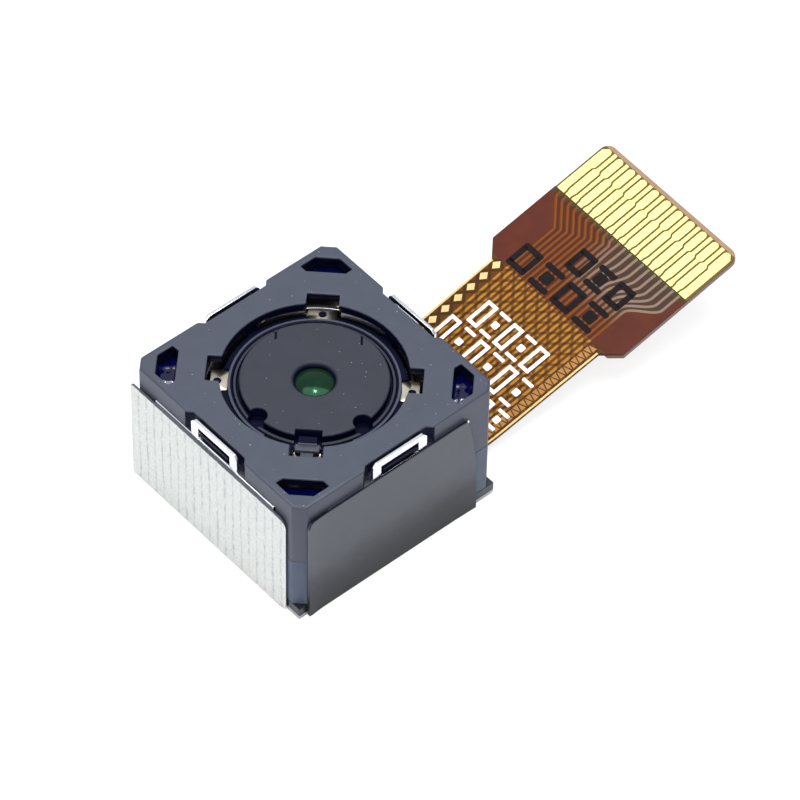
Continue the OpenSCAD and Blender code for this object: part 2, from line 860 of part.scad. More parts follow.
// Lens carrier: threaded sleeve with two flanges for the coil, a collar round the barrel's
// head, a lip over the upper spring's ring, lugs under its tabs, stop lugs, feet and a
// stepped key
module lens_carrier() {
    root = 0.06;
    lip_z = upper_spring_z + spring_t + lip_rise;
    lip_angle = 36;
    key_floor = barrel_top - notch_depth + slip_gap;
    color("#5A6069") {
            rotate_extrude()
                polygon([
                    [bore_r, flange_bottom], [flange_r, flange_bottom],
                    [flange_r, coil_bottom], [winding_r, coil_bottom],
                    [winding_r, coil_top], [flange_r, coil_top],
                    [flange_r, flange_top], [shoulder_r, flange_top],
                    [shoulder_r, upper_spring_z], [collar_r, upper_spring_z],
                    [collar_r, collar_top], [bore_r + 0.03, collar_top],
                    [bore_r, collar_top - 0.03]
                ]);
            plate(deck_top, flange_bottom + eps)
                for (a = [0:90:270])
                    ring_sector(bore_r + root, collar_r + 0.06, a - foot_angle, a + foot_angle);
            on_corners()
                plate(flange_top - eps, upper_spring_z)
                    translate([shoulder_r - root, -lug_w / 2])
                        square([lug_r - shoulder_r + root, lug_w]);
            on_sides()
                translate([0, stop_lug_w / 2, 0])
                    rotate([90, 0, 0])
                        linear_extrude(stop_lug_w)
                            polygon([
                                [shoulder_r - root, flange_top - eps],
                                [stop_r, flange_top - eps], [stop_r, stop_top],
                                [shoulder_r + fit_gap, stop_top],
                                [shoulder_r + fit_gap, upper_spring_z - fit_gap],
                                [shoulder_r - root, upper_spring_z - fit_gap]
                            ]);
            plate(lip_z, lip_z + lip_h)
                for (a = [0:90:270])
                    ring_sector(bore_r + 0.1, shoulder_r - 0.02, a - lip_angle, a + lip_angle);
            key_step(key_in, bore_r + 0.11, 1.5 * key_end_w, key_floor, barrel_top - 0.04);
            key_step(bore_r + 0.02, shoulder_r - 0.08, key_w, lip_z + 0.02, barrel_top - 0.13);
            key_step(bore_r + 0.07, key_r, key_end_w, upper_spring_z - root, collar_top - 0.02);
    }
}

// One step of the carrier's key, which faces the corner between -Y and +X
module key_step(r_in, r_out, w, z_from, z_to) {
    rotate(-45) plate(z_from, z_to) translate([r_in, -w / 2]) square([r_out - r_in, w]);
}

// Coil wound on the carrier
module coil() {
    color("#B5652F") plate(coil_bottom, coil_top) ring(winding_r, coil_r);
}

// Barrel that holds the lens stack: outer thread as rings, stepped bore, front opening,
// two half-round tool notches, one square key notch and two short slits
module lens_barrel() {
    root_r = thread_r - thread_depth;
    thread_from = barrel_bottom + 0.2;
    thread_to = barrel_top - 0.6;
    turns = floor((thread_to - thread_from) / thread_pitch);
    edge = 0.04;
    thread_end = thread_from + turns * thread_pitch + 0.02;
    shoulder_z = barrel_top - shoulder_drop;
    notch_bottom = barrel_top - notch_depth;
    cut_h = 2 * notch_depth;
    groove = 0.08;
    color("#50555D") difference() {
        rotate_extrude()
            polygon([
                [lens_4_r + bore_gap, barrel_bottom], [root_r - edge, barrel_bottom],
                [root_r, barrel_bottom + edge],
                for (i = [0:turns - 1])
                    let (z = thread_from + i * thread_pitch)
                        each [
                            [root_r, z], [thread_r, z + 0.35 * thread_pitch],
                            [thread_r, z + 0.5 * thread_pitch], [root_r, z + 0.85 * thread_pitch]
                        ],
                [root_r, thread_end], [thread_r, thread_end + 0.08], [thread_r, shoulder_z],
                [barrel_r + groove, shoulder_z], [barrel_r + groove, shoulder_z - groove],
                [barrel_r, shoulder_z - groove],
                [barrel_r, barrel_top - edge], [barrel_r - edge, barrel_top],
                [iris_rim_r, barrel_top], [iris_r, barrel_top - 0.12],
                [iris_r, barrel_top - 0.18], [lens_1_r * 2 / 3, lens_1_top],
                [lens_1_r + bore_gap, lens_1_top], [lens_1_r + bore_gap, lens_2_top],
                [lens_2_r + bore_gap, lens_2_top], [lens_2_r + bore_gap, lens_3_top],
                [lens_3_r + bore_gap, lens_3_top], [lens_3_r + bore_gap, lens_4_top],
                [lens_4_r + bore_gap, lens_4_top]
            ]);
        for (a = [0, -90])
            rotate(a)
                translate([barrel_r - 0.06, 0, notch_bottom])
                    cylinder(h = cut_h, r = tool_notch_r);
        rotate(-45)
            translate([key_notch_in, -key_notch_w / 2, notch_bottom])
                cube([key_notch_w, key_notch_w, cut_h]);
        for (a = [-1, 1])
            rotate(135 + 37.5 * a)
                translate([barrel_r - 0.17, 0, barrel_top])
                    rotate(45 - 45.5 * a) cube([0.5, 0.05, 0.12], center = true);
    }
}

// Points of a lens surface from the axis out to its rim: a parabola of a given sag
function lens_curve(r, z_rim, sag, n = 10) =
    [for (i = [0:n]) let (x = r * i / n) [x, z_rim + sag * (1 - pow(x / r, 2))]];

// Points of a field lens surface: a dip or bump in the middle with a counter-curve outside
function wave_curve(r, z_rim, sag, n = 14) =
    [for (i = [0:n]) let (x = r * i / n) [x, z_rim + sag * cos(180 * x / r) / 2 + sag / 2]];

function backwards(points) = [for (i = [len(points) - 1:-1:0]) points[i]];

// A lens turned from its front and back curves and its edge
module lens_solid(front, back, edge_r, top, bottom) {
    rotate_extrude()
        polygon(concat(back, [[edge_r, bottom], [edge_r, top]], backwards(front)));
}

// First lens: its front bulges into the barrel's opening
module lens_1() {
    cap_r = lens_1_r * 0.62;
    color("#9FD8B8", 0.6)
        lens_solid(lens_curve(cap_r, lens_1_top, 0.13), lens_curve(0.75, shield_1_top, -0.08),
            lens_1_r, lens_1_top, shield_1_top);
}

// A thin black ring that blocks stray light
module light_shield(z_top, r_out, r_in) {
    color("#1D1E20") plate(z_top - shield_t, z_top) ring(r_in, r_out);
}

module light_shield_1() {
    light_shield(shield_1_top, lens_1_r, 0.8);
}

// Second lens: hollow on both sides
module lens_2() {
    color("#A8D8C8", 0.6)
        lens_solid(lens_curve(0.9, lens_2_top, -0.12), lens_curve(0.95, shield_2_top, 0.1),
            lens_2_r, lens_2_top, shield_2_top);
}

module light_shield_2() {
    light_shield(shield_2_top, lens_2_r, 1.0);
}

// Third lens: strong rear bulge into the spacer ring
module lens_3() {
    color("#A8D8C8", 0.6)
        lens_solid(lens_curve(1.1, lens_3_top, -0.08), lens_curve(1.3, spacer_top, -0.24),
            lens_3_r, lens_3_top, spacer_top);
}

// Ring between the third and fourth lenses
module spacer_ring() {
    color("#1D1E20") plate(lens_4_top, spacer_top) ring(1.4, lens_3_r);
}

// Fourth lens: field corrector with a waved rear face
module lens_4() {
    color("#A8D8C8", 0.6)
        lens_solid(wave_curve(1.35, lens_4_top, -0.12), wave_curve(1.65, retainer_top, 0.22),
            lens_4_r, lens_4_top, retainer_top);
}

// Ring that holds the lens stack in the barrel
module lens_retainer() {
    color("#1D1E20") plate(retainer_bottom, retainer_top)
        ring(1.75, lens_4_r + bore_gap - fit_gap);
}

// Slope of the tail at a length along it, in degrees
function slope_at(s) = tail_slope * max(0, min(1, s / max(bend_len, eps)));

// Twist of the tail at a length along it, in degrees
function twist_at(s) = tail_twist * max(0, min(1, s / neck_len));

// Middle line of the tail at a length along it
function line_at(s) =
    s <= 0 ? [tail_x, tail_y + s, tail_z] :
    s <= bend_len ?
        [tail_x, tail_y + tail_bend_r * sin(slope_at(s)),
            tail_z + tail_bend_r * (1 - cos(slope_at(s)))] :
        [tail_x,
            tail_y + tail_bend_r * sin(tail_slope) + (s - bend_len) * cos(tail_slope),
            tail_z + tail_bend_r * (1 - cos(tail_slope)) + (s - bend_len) * sin(tail_slope)];

// A point of the tail: a length along it, across it, and out along its normal
function tail_point(s, x, n) =
    let (
        turn = twist_at(s),
        across = x * cos(turn) - n * sin(turn),
        out = x * sin(turn) + n * cos(turn),
        slope = slope_at(s)
    )
    line_at(s) + [across, -out * sin(slope), out * cos(slope)];

// Half of the tail's width at a length along it
function tail_half(s) =
    s <= shoulder_from ? neck_w / 2 :
    s < shoulder_to ?
        neck_w / 2 + (tail_w - neck_w) / 2 * (s - shoulder_from) / (shoulder_to - shoulder_from) :
    s <= tail_len - tip_r ? tail_w / 2 :
        tail_w / 2 - tip_r + sqrt(max(0, pow(tip_r, 2) - pow(s - tail_len + tip_r, 2)));

// Stations along the tail, closer together where it bends, widens or rounds off
bend_steps = 6;
neck_steps = 8;
tip_steps = 5;
root_gap = 0.02;
neck_stations = [
    root_gap,
    for (i = [1:bend_steps]) root_gap + (bend_len - root_gap) * i / bend_steps,
    for (i = [1:neck_steps]) bend_len + (shoulder_from - bend_len) * i / neck_steps,
    neck_len, shoulder_to
];
tip_stations = [
    for (i = [0:tip_steps]) tail_len - tip_r + tip_r * sin(90 * i / tip_steps)
];

// A film that follows the tail through the given stations, between two normal offsets
module tail_film(stations, n_from, n_to) {
    count = len(stations);
    polyhedron(
        points = [
            for (s = stations)
                let (h = tail_half(s))
                    each [
                        tail_point(s, -h, n_from), tail_point(s, h, n_from),
                        tail_point(s, h, n_to), tail_point(s, -h, n_to)
                    ]
        ],
        faces = [
            [3, 2, 1, 0],
            for (k = [0:count - 2])
                let (a = 4 * k, b = 4 * k + 4)
                    each [
                        [a, a + 1, b + 1], [a, b + 1, b], [a + 3, b + 3, b + 2],
                        [a + 3, b + 2, a + 2], [a + 1, a + 2, b + 2], [a + 1, b + 2, b + 1],
                        [a, b, b + 3], [a, b + 3, a + 3]
                    ],
            [4 * count - 3, 4 * count - 2, 4 * count - 1, 4 * count - 4]
        ]
    );
}

// Base film of the tail, from its root in the board to its tip
module flex_cable() {
    color(amber)
        tail_film(concat([-root_len], neck_stations, tip_stations), -flex_t / 2, flex_t / 2);
}

// Coverlay film over the traces, which stops short of the contacts
module coverlay() {
    color("#A2661B")
        tail_film(concat(neck_stations, [coverlay_len]), flex_t / 2, flex_t / 2 + coverlay_t);
}

// Places its children on the flat contact end: x across, y along the tail, z out
module on_contact_end() {
    translate(line_at(neck_len)) rotate([tail_slope, 0, 0]) rotate([0, -tail_twist, 0])
        translate([0, -neck_len, 0]) children();
}

// Outline of the contact end
module contact_end_outline() {
    stations = concat([neck_len, shoulder_to], tip_stations);
    polygon(concat(
        [for (s = stations) [tail_half(s), s]],
        [for (s = backwards(stations)) [-tail_half(s), s]]
    ));
}

// Stiffener under the contact end
module contact_stiffener() {
    color(maroon) on_contact_end()
        translate([0, 0, -flex_t / 2 - tail_plate_t])
            linear_extrude(tail_plate_t) contact_end_outline();
}

// Right edge of a contact, from the coverlay's edge to its tip: neighbours share each gap
function contact_edge(front_row) =
    let (
        w = contact_wide / 2,
        n = contact_narrow / 2,
        even = (contact_pitch - contact_gap) / 2,
        taper = 0.14,
        nose = 0.12
    )
    front_row ?
        concat(
            [[even, contact_from], [n, contact_from + 2 * taper], [n, contact_mid - taper]],
            [[w, contact_mid], [w, contact_to - nose]],
            [for (a = [30:30:90]) [w - nose + nose * cos(a), contact_to - nose + nose * sin(a)]]
        ) :
        [
            [even, contact_from], [w, contact_from + 2 * taper], [w, contact_mid - taper],
            [n, contact_mid], [n, contact_to]
        ];

// One contact. The outermost two fill the film out to its edges
module contact_outline(front_row, first = false, last = false) {
    side = (tail_w - (contact_count - 1) * contact_pitch) / 2 - contact_gap;
    edge = contact_edge(front_row);
    outer = [[side, contact_from], [side, contact_to - tip_r / 2], [side - tip_r / 2, contact_to]];
    right = last ? outer : edge;
    left = first ? outer : edge;
    polygon(concat(right, [for (p = backwards(left)) [-p[0], p[1]]]));
}

// Gold plated contacts in two staggered rows
module contact_fingers() {
    color(gold) on_contact_end()
        translate([0, 0, flex_t / 2])
            linear_extrude(contact_t)
                for (i = [0:contact_count - 1])
                    translate([(i - (contact_count - 1) / 2) * contact_pitch, 0])
                        contact_outline(i % 2 == 0, i == 0, i == contact_count - 1);
}

stiffener_plate();
circuit_board();
image_sensor();
bond_wires();
capacitors();
driver_chip();
base_housing();
ir_filter();
coil_terminals();
solder_joints();
lower_spring_front();
lower_spring_back();
yoke();
magnet_front();
magnet_back();
magnet_left();
magnet_right();
spring_frame();
upper_spring();
top_cover();
silver_tape();
black_film();
lens_carrier();
coil();
lens_barrel();
lens_1();
light_shield_1();
lens_2();
light_shield_2();
lens_3();
spacer_ring();
lens_4();
lens_retainer();
flex_cable();
coverlay();
contact_stiffener();
contact_fingers();
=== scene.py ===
"""Dresses the autofocus camera module: moulded head, tapes, leaf springs, lens stack and printed tail.

Sizes are in millimetres until a mesh is finished, which is in metres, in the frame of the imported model:
+Z out of the lens, +Y the way that the tail leaves the head, origin under the middle of the head.
"""

from __future__ import annotations

import json
import logging
import math
import random
from dataclasses import dataclass, field
from enum import Enum
from typing import Callable, Iterable, Sequence

import bmesh
import bpy
import numpy as np
from mathutils import Matrix, Vector

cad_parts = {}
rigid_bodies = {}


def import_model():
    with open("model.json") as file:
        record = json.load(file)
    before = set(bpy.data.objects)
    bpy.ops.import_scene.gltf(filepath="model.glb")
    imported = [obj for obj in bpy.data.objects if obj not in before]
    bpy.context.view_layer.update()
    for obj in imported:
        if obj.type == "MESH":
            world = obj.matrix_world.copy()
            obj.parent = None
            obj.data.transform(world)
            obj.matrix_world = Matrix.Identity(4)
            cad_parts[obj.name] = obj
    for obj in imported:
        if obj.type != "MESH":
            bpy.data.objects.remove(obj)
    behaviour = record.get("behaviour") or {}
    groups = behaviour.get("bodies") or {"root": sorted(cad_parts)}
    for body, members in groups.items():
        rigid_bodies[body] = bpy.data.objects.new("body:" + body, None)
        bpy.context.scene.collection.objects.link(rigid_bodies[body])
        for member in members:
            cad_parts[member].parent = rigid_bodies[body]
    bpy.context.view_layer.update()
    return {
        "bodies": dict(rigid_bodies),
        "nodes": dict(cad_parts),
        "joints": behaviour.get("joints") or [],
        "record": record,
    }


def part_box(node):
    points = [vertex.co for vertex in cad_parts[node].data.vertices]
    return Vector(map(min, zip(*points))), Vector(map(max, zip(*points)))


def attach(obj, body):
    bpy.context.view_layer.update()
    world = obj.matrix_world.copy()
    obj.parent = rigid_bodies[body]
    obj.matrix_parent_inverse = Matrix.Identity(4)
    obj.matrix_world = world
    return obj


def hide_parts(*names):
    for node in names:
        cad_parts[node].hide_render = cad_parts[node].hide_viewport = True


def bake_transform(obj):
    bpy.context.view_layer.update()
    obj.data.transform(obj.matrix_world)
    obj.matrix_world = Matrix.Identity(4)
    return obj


LOG = logging.getLogger("camera_module")
MM = 0.001
SHARP_DEG = 25.0
SQUARE_ON = 0.9999
LARGE_FACE = 0.08e-6
Point = tuple[float, float, float]
Outline = list[tuple[float, float]]


class Body(Enum):
    """The rigid bodies of the model."""

    MODULE = "module_body"
    FOCUS = "focus_group"


# Shader helpers


def linear(hex_colour: str, alpha: float = 1.0) -> tuple[float, float, float, float]:
    """Turns an sRGB hex colour into the linear values that a shader takes.

    Args:
        hex_colour: Colour as "#rrggbb".
        alpha: Fourth channel.

    Returns:
        Linear red, green, blue and alpha.
    """
    channels = [int(hex_colour[i : i + 2], 16) / 255 for i in (1, 3, 5)]
    light = [c / 12.92 if c <= 0.04045 else ((c + 0.055) / 1.055) ** 2.4 for c in channels]
    return light[0], light[1], light[2], alpha


def add_node(tree: bpy.types.NodeTree, kind: str, inputs: dict | None = None, **settings: object) -> bpy.types.Node:
    """Adds a node with its settings and inputs.

    Args:
        tree: Tree that gets the node.
        kind: Blender's name for the node type.
        inputs: Input name or number to a value, or to the socket that feeds it.
        settings: Attributes of the node.

    Returns:
        The new node.
    """
    node = tree.nodes.new(kind)
    for name, value in settings.items():
        setattr(node, name, value)
    for key, value in (inputs or {}).items():
        if isinstance(value, bpy.types.NodeSocket):
            tree.links.new(value, node.inputs[key])
        else:
            node.inputs[key].default_value = value
    return node


@dataclass(frozen=True)
class Finish:
    """A surface finish. Each subclass says what the material really is.

    Attributes:
        name: Name of the Blender material.
    """

    name: str

    def material(self) -> bpy.types.Material:
        """Builds the material once and returns it."""
        found = bpy.data.materials.get(self.name)
        if found:
            return found
        made = bpy.data.materials.new(self.name)
        made.use_nodes = True
        tree = made.node_tree
        tree.nodes.clear()
        surface = self.surface(tree)
        add_node(tree, "ShaderNodeOutputMaterial", {"Surface": surface})
        return made

    def surface(self, tree: bpy.types.NodeTree) -> bpy.types.NodeSocket:
        """Builds the shader.

        Args:
            tree: The material's node tree.

        Returns:
            The shader socket.
        """
        raise NotImplementedError

    def shifted_colour(
        self, tree: bpy.types.NodeTree, place: bpy.types.NodeSocket, dark: str, light: str, size_mm: float
    ) -> bpy.types.NodeSocket:
        """Colour that drifts between two values.

        Args:
            tree: The material's node tree.
            place: Coordinates to read.
            dark: Hex colour at one end.
            light: Hex colour at the other end.
            size_mm: Rough size of a patch.

        Returns:
            The colour socket.
        """
        noise = add_node(tree, "ShaderNodeTexNoise", {"Vector": place, "Scale": 1 / (size_mm * MM), "Detail": 3.0})
        mix = add_node(
            tree, "ShaderNodeMix", {0: noise.outputs[0], 6: linear(dark), 7: linear(light)}, data_type="RGBA"
        )
        return mix.outputs[2]

    def grain_bump(
        self, tree: bpy.types.NodeTree, place: bpy.types.NodeSocket, size_mm: float, depth_mm: float
    ) -> bpy.types.NodeSocket:
        """Fine grain as a bump.

        Args:
            tree: The material's node tree.
            place: Coordinates to read.
            size_mm: Size of a grain.
            depth_mm: Depth of the grain.

        Returns:
            The normal socket.
        """
        noise = add_node(tree, "ShaderNodeTexNoise", {"Vector": place, "Scale": 1 / (size_mm * MM), "Detail": 2.0})
        bump = add_node(
            tree, "ShaderNodeBump", {"Height": noise.outputs[0], "Distance": depth_mm * MM, "Strength": 1.0}
        )
        return bump.outputs[0]


class Recess(Enum):
    """Shape of the stretch of a moulding in which its hollows lie and get painted shade."""

    NONE = "none"
    SQUARE = "square"
    ROUND = "round"


@dataclass(frozen=True)
class MouldedPlastic(Finish):
    """Glass-filled black polymer, moulded: satin, faintly grainy, with painted shade inside its hollows.

    Attributes:
        recess: Shape of the stretch in which the hollows lie.
        recess_reach: Half of that square's width, or the circle's radius, in millimetres.
        recess_top: Height under which the painted shade starts.
        recess_depth: Depth over which it ramps in.
        painted_shade_colour: Colour of the painted shade.
        notch_half: Half of the width of the notches in the middle of each side of the square.
        core_r: Radius of a round core that gets the painted shade at every height.
    """

    dark: str = "#363a44"
    light: str = "#3e424c"
    roughness: float = 0.42
    grain_mm: float = 0.05
    depth_mm: float = 0.0012
    specular: float = 0.3
    recess: Recess = Recess.NONE
    recess_reach: float = 4.0
    recess_top: float = 5.37
    recess_depth: float = 0.05
    painted_shade_colour: str = "#04061c"
    notch_half: float = 1.53
    core_r: float = 0.0

    def surface(self, tree: bpy.types.NodeTree) -> bpy.types.NodeSocket:
        """Builds the moulded surface."""
        place = add_node(tree, "ShaderNodeTexCoord").outputs["Object"]
        colour = self.shifted_colour(tree, place, self.dark, self.light, 0.6)
        specular: float | bpy.types.NodeSocket = self.specular
        # Painted shade: the hollows turn near black and lose most of their reflection.
        if self.recess is not Recess.NONE:
            painted_shade_share = self.painted_shade_share(tree, place)
            colour = add_node(
                tree,
                "ShaderNodeMix",
                {0: painted_shade_share, 6: colour, 7: linear(self.painted_shade_colour)},
                data_type="RGBA",
            ).outputs[2]
            specular = add_node(
                tree, "ShaderNodeMapRange", {"Value": painted_shade_share, "To Min": self.specular, "To Max": 0.06}
            ).outputs[0]
        normal = self.grain_bump(tree, place, self.grain_mm, self.depth_mm)
        shader = add_node(
            tree,
            "ShaderNodeBsdfPrincipled",
            {
                "Base Color": colour,
                "Roughness": self.roughness,
                "IOR": 1.5,
                "Specular IOR Level": specular,
                "Normal": normal,
            },
        )
        return shader.outputs[0]

    def painted_shade_share(self, tree: bpy.types.NodeTree, place: bpy.types.NodeSocket) -> bpy.types.NodeSocket:
        """Share of the painted shade at a point.

        Args:
            tree: The material's node tree.
            place: Coordinates to read.

        Returns:
            The value socket.
        """
        parts = add_node(tree, "ShaderNodeSeparateXYZ", {0: place})
        if self.recess is Recess.ROUND:
            flat = add_node(tree, "ShaderNodeCombineXYZ", {0: parts.outputs[0], 1: parts.outputs[1]})
            reach = add_node(tree, "ShaderNodeVectorMath", {0: flat.outputs[0]}, operation="LENGTH").outputs[1]
            extra = add_node(tree, "ShaderNodeMath", {0: reach, 1: self.core_r * MM}, operation="LESS_THAN")
        else:
            sides = [
                add_node(tree, "ShaderNodeMath", {0: parts.outputs[i]}, operation="ABSOLUTE").outputs[0]
                for i in (0, 1)
            ]
            reach = add_node(tree, "ShaderNodeMath", {0: sides[0], 1: sides[1]}, operation="MAXIMUM").outputs[0]
            least = add_node(tree, "ShaderNodeMath", {0: sides[0], 1: sides[1]}, operation="MINIMUM").outputs[0]
            extra = add_node(tree, "ShaderNodeMath", {0: least, 1: self.notch_half * MM}, operation="LESS_THAN")
        inside = add_node(tree, "ShaderNodeMath", {0: reach, 1: self.recess_reach * MM}, operation="LESS_THAN")
        deep = add_node(
            tree,
            "ShaderNodeMapRange",
            {
                "Value": parts.outputs[2],
                "From Min": (self.recess_top - self.recess_depth) * MM,
                "From Max": self.recess_top * MM,
                "To Min": 1.0,
                "To Max": 0.0,
            },
        )
        if self.recess is Recess.ROUND:
            low = add_node(
                tree, "ShaderNodeMath", {0: inside.outputs[0], 1: deep.outputs[0]}, operation="MULTIPLY"
            )
            return add_node(
                tree, "ShaderNodeMath", {0: low.outputs[0], 1: extra.outputs[0]}, operation="MAXIMUM"
            ).outputs[0]
        either = add_node(
            tree, "ShaderNodeMath", {0: inside.outputs[0], 1: extra.outputs[0]}, operation="MAXIMUM"
        )
        return add_node(
            tree, "ShaderNodeMath", {0: either.outputs[0], 1: deep.outputs[0]}, operation="MULTIPLY"
        ).outputs[0]


@dataclass(frozen=True)
class SheetMetal(Finish):
    """Rolled and plated sheet: bright, with rolling lines and soft colour drift."""

    dark: str = "#b9bcc2"
    light: str = "#e3e5e8"
    roughness: float = 0.22
    line_mm: float = 0.03
    depth_mm: float = 0.0006
    stretch: tuple[float, float, float] = (1.0, 1.0, 0.08)

    def surface(self, tree: bpy.types.NodeTree) -> bpy.types.NodeSocket:
        """Builds the rolled surface."""
        place = add_node(tree, "ShaderNodeTexCoord").outputs["Object"]
        colour = self.shifted_colour(tree, place, self.dark, self.light, 0.8)
        along = add_node(tree, "ShaderNodeMapping", {"Vector": place, "Scale": self.stretch})
        normal = self.grain_bump(tree, along.outputs[0], self.line_mm, self.depth_mm)
        shader = add_node(
            tree,
            "ShaderNodeBsdfPrincipled",
            {"Base Color": colour, "Metallic": 1.0, "Roughness": self.roughness, "Normal": normal},
        )
        return shader.outputs[0]


@dataclass(frozen=True)
class WovenFoil(Finish):
    """Silver plated conductive cloth over foam: matt, near white, with pores in a fine weave.

    Its UV map counts ribs across it and millimetres below its top edge, where a dark line of painted shadow shows.
    The grooves between the ribs get painted grey shade, broken where threads bridge them.
    """

    dark: str = "#b9bcb6"
    light: str = "#c9cbc5"
    # Painted shade in the grooves between the ribs.
    painted_groove_shade: str = "#a0a5a5"
    # Painted shadow: the dark line below the top edge.
    edge: str = "#55585c"
    shadow_line_mm: float = 0.022
    roughness: float = 0.8
    thread_mm: float = 0.07

    def surface(self, tree: bpy.types.NodeTree) -> bpy.types.NodeSocket:
        """Builds the weave, drawn as coarse as the render can show."""
        place = add_node(tree, "ShaderNodeTexCoord").outputs["Object"]
        flat = add_node(tree, "ShaderNodeSeparateXYZ", {0: add_node(tree, "ShaderNodeTexCoord").outputs["UV"]})
        weave = add_node(
            tree, "ShaderNodeTexNoise", {"Vector": place, "Scale": 1 / (self.thread_mm * MM), "Detail": 3.0}
        )
        pores = add_node(
            tree, "ShaderNodeMapRange", {"Value": weave.outputs[0], "From Min": 0.32, "From Max": 0.58}
        )
        cloth = add_node(
            tree,
            "ShaderNodeMix",
            {0: pores.outputs[0], 6: linear(self.dark), 7: linear(self.light)},
            data_type="RGBA",
        )
        turn = add_node(tree, "ShaderNodeMath", {0: flat.outputs[0], 1: math.pi}, operation="MULTIPLY")
        wave = add_node(tree, "ShaderNodeMath", {0: turn.outputs[0]}, operation="COSINE")
        size = add_node(tree, "ShaderNodeMath", {0: wave.outputs[0]}, operation="ABSOLUTE")
        line = add_node(tree, "ShaderNodeMath", {0: size.outputs[0], 1: 22.0}, operation="POWER")
        stretched = add_node(tree, "ShaderNodeMapping", {"Vector": place, "Scale": (1.0, 1.0, 0.45)})
        breaks = add_node(
            tree,
            "ShaderNodeTexNoise",
            {"Vector": stretched.outputs[0], "Scale": 1 / (1.6 * self.thread_mm * MM), "Detail": 1.0},
        )
        broken = add_node(
            tree, "ShaderNodeMapRange", {"Value": breaks.outputs[0], "From Min": 0.35, "From Max": 0.65}
        )
        # Painted shade: grey in the grooves, broken by the threads.
        share = add_node(
            tree, "ShaderNodeMath", {0: line.outputs[0], 1: broken.outputs[0]}, operation="MULTIPLY"
        )
        colour = add_node(
            tree,
            "ShaderNodeMix",
            {0: share.outputs[0], 6: cloth.outputs[2], 7: linear(self.painted_groove_shade)},
            data_type="RGBA",
        )
        # Painted shadow: a dark line just below the top edge.
        painted_shadow_line = add_node(tree, "ShaderNodeMath", {0: flat.outputs[1], 1: self.shadow_line_mm}, operation="LESS_THAN")
        colour = add_node(
            tree,
            "ShaderNodeMix",
            {0: painted_shadow_line.outputs[0], 6: colour.outputs[2], 7: linear(self.edge)},
            data_type="RGBA",
        )
        bump = add_node(
            tree, "ShaderNodeBump", {"Height": pores.outputs[0], "Distance": 0.006 * MM, "Strength": 0.5}
        )
        shader = add_node(
            tree,
            "ShaderNodeBsdfPrincipled",
            {
                "Base Color": colour.outputs[2],
                "Metallic": 0.1,
                "Roughness": self.roughness,
                "Specular IOR Level": 0.3,
                "Normal": bump.outputs[0],
            },
        )
        return shader.outputs[0]


@dataclass(frozen=True)
class SatinFilm(Finish):
    """Thin black polyester film: smooth and satin, with a painted grey reflection high up that gives way to painted
    shade at its foot.

    The second value of its UV map is the distance below its top edge, where a dark line of painted shadow shows.
    """

    # Painted shade at the foot and painted reflection higher up.
    foot: str = "#1c1e21"
    painted_reflection: str = "#3c3f44"
    # Painted shadow: the dark line below the top edge.
    edge: str = "#070920"
    shadow_line_mm: float = 0.05
    roughness: float = 0.35
    specular: float = 0.32
    coat: float = 0.04
    foot_z: float = 0.9
    painted_reflection_z: float = 2.6

    def surface(self, tree: bpy.types.NodeTree) -> bpy.types.NodeSocket:
        """Builds the film."""
        place = add_node(tree, "ShaderNodeTexCoord").outputs["Object"]
        parts = add_node(tree, "ShaderNodeSeparateXYZ", {0: place})
        cloud = add_node(tree, "ShaderNodeTexNoise", {"Vector": place, "Scale": 1 / (1.5 * MM), "Detail": 3.0})
        wander = add_node(
            tree, "ShaderNodeMath", {0: cloud.outputs[0], 1: 1.6 * MM, 2: parts.outputs[2]}, operation="MULTIPLY_ADD"
        )
        # Painted reflection and shade: lighter high up, darker at the foot, along a wandering line.
        share = add_node(
            tree,
            "ShaderNodeMapRange",
            {
                "Value": wander.outputs[0],
                "From Min": (self.foot_z + 0.8) * MM,
                "From Max": (self.painted_reflection_z + 0.8) * MM,
            },
            interpolation_type="SMOOTHSTEP",
        )
        colour = add_node(
            tree,
            "ShaderNodeMix",
            {0: share.outputs[0], 6: linear(self.foot), 7: linear(self.painted_reflection)},
            data_type="RGBA",
        )
        # Painted shadow: a dark line just below the top edge.
        down = add_node(tree, "ShaderNodeSeparateXYZ", {0: add_node(tree, "ShaderNodeTexCoord").outputs["UV"]})
        painted_shadow_line = add_node(tree, "ShaderNodeMath", {0: down.outputs[1], 1: self.shadow_line_mm}, operation="LESS_THAN")
        colour = add_node(
            tree,
            "ShaderNodeMix",
            {0: painted_shadow_line.outputs[0], 6: colour.outputs[2], 7: linear(self.edge)},
            data_type="RGBA",
        )
        normal = self.grain_bump(tree, place, 0.9, 0.01)
        shader = add_node(
            tree,
            "ShaderNodeBsdfPrincipled",
            {
                "Base Color": colour.outputs[2],
                "Roughness": self.roughness,
                "Specular IOR Level": self.specular,
                "Normal": normal,
                "Coat Weight": self.coat,
                "Coat Roughness": 0.15,
            },
        )
        return shader.outputs[0]


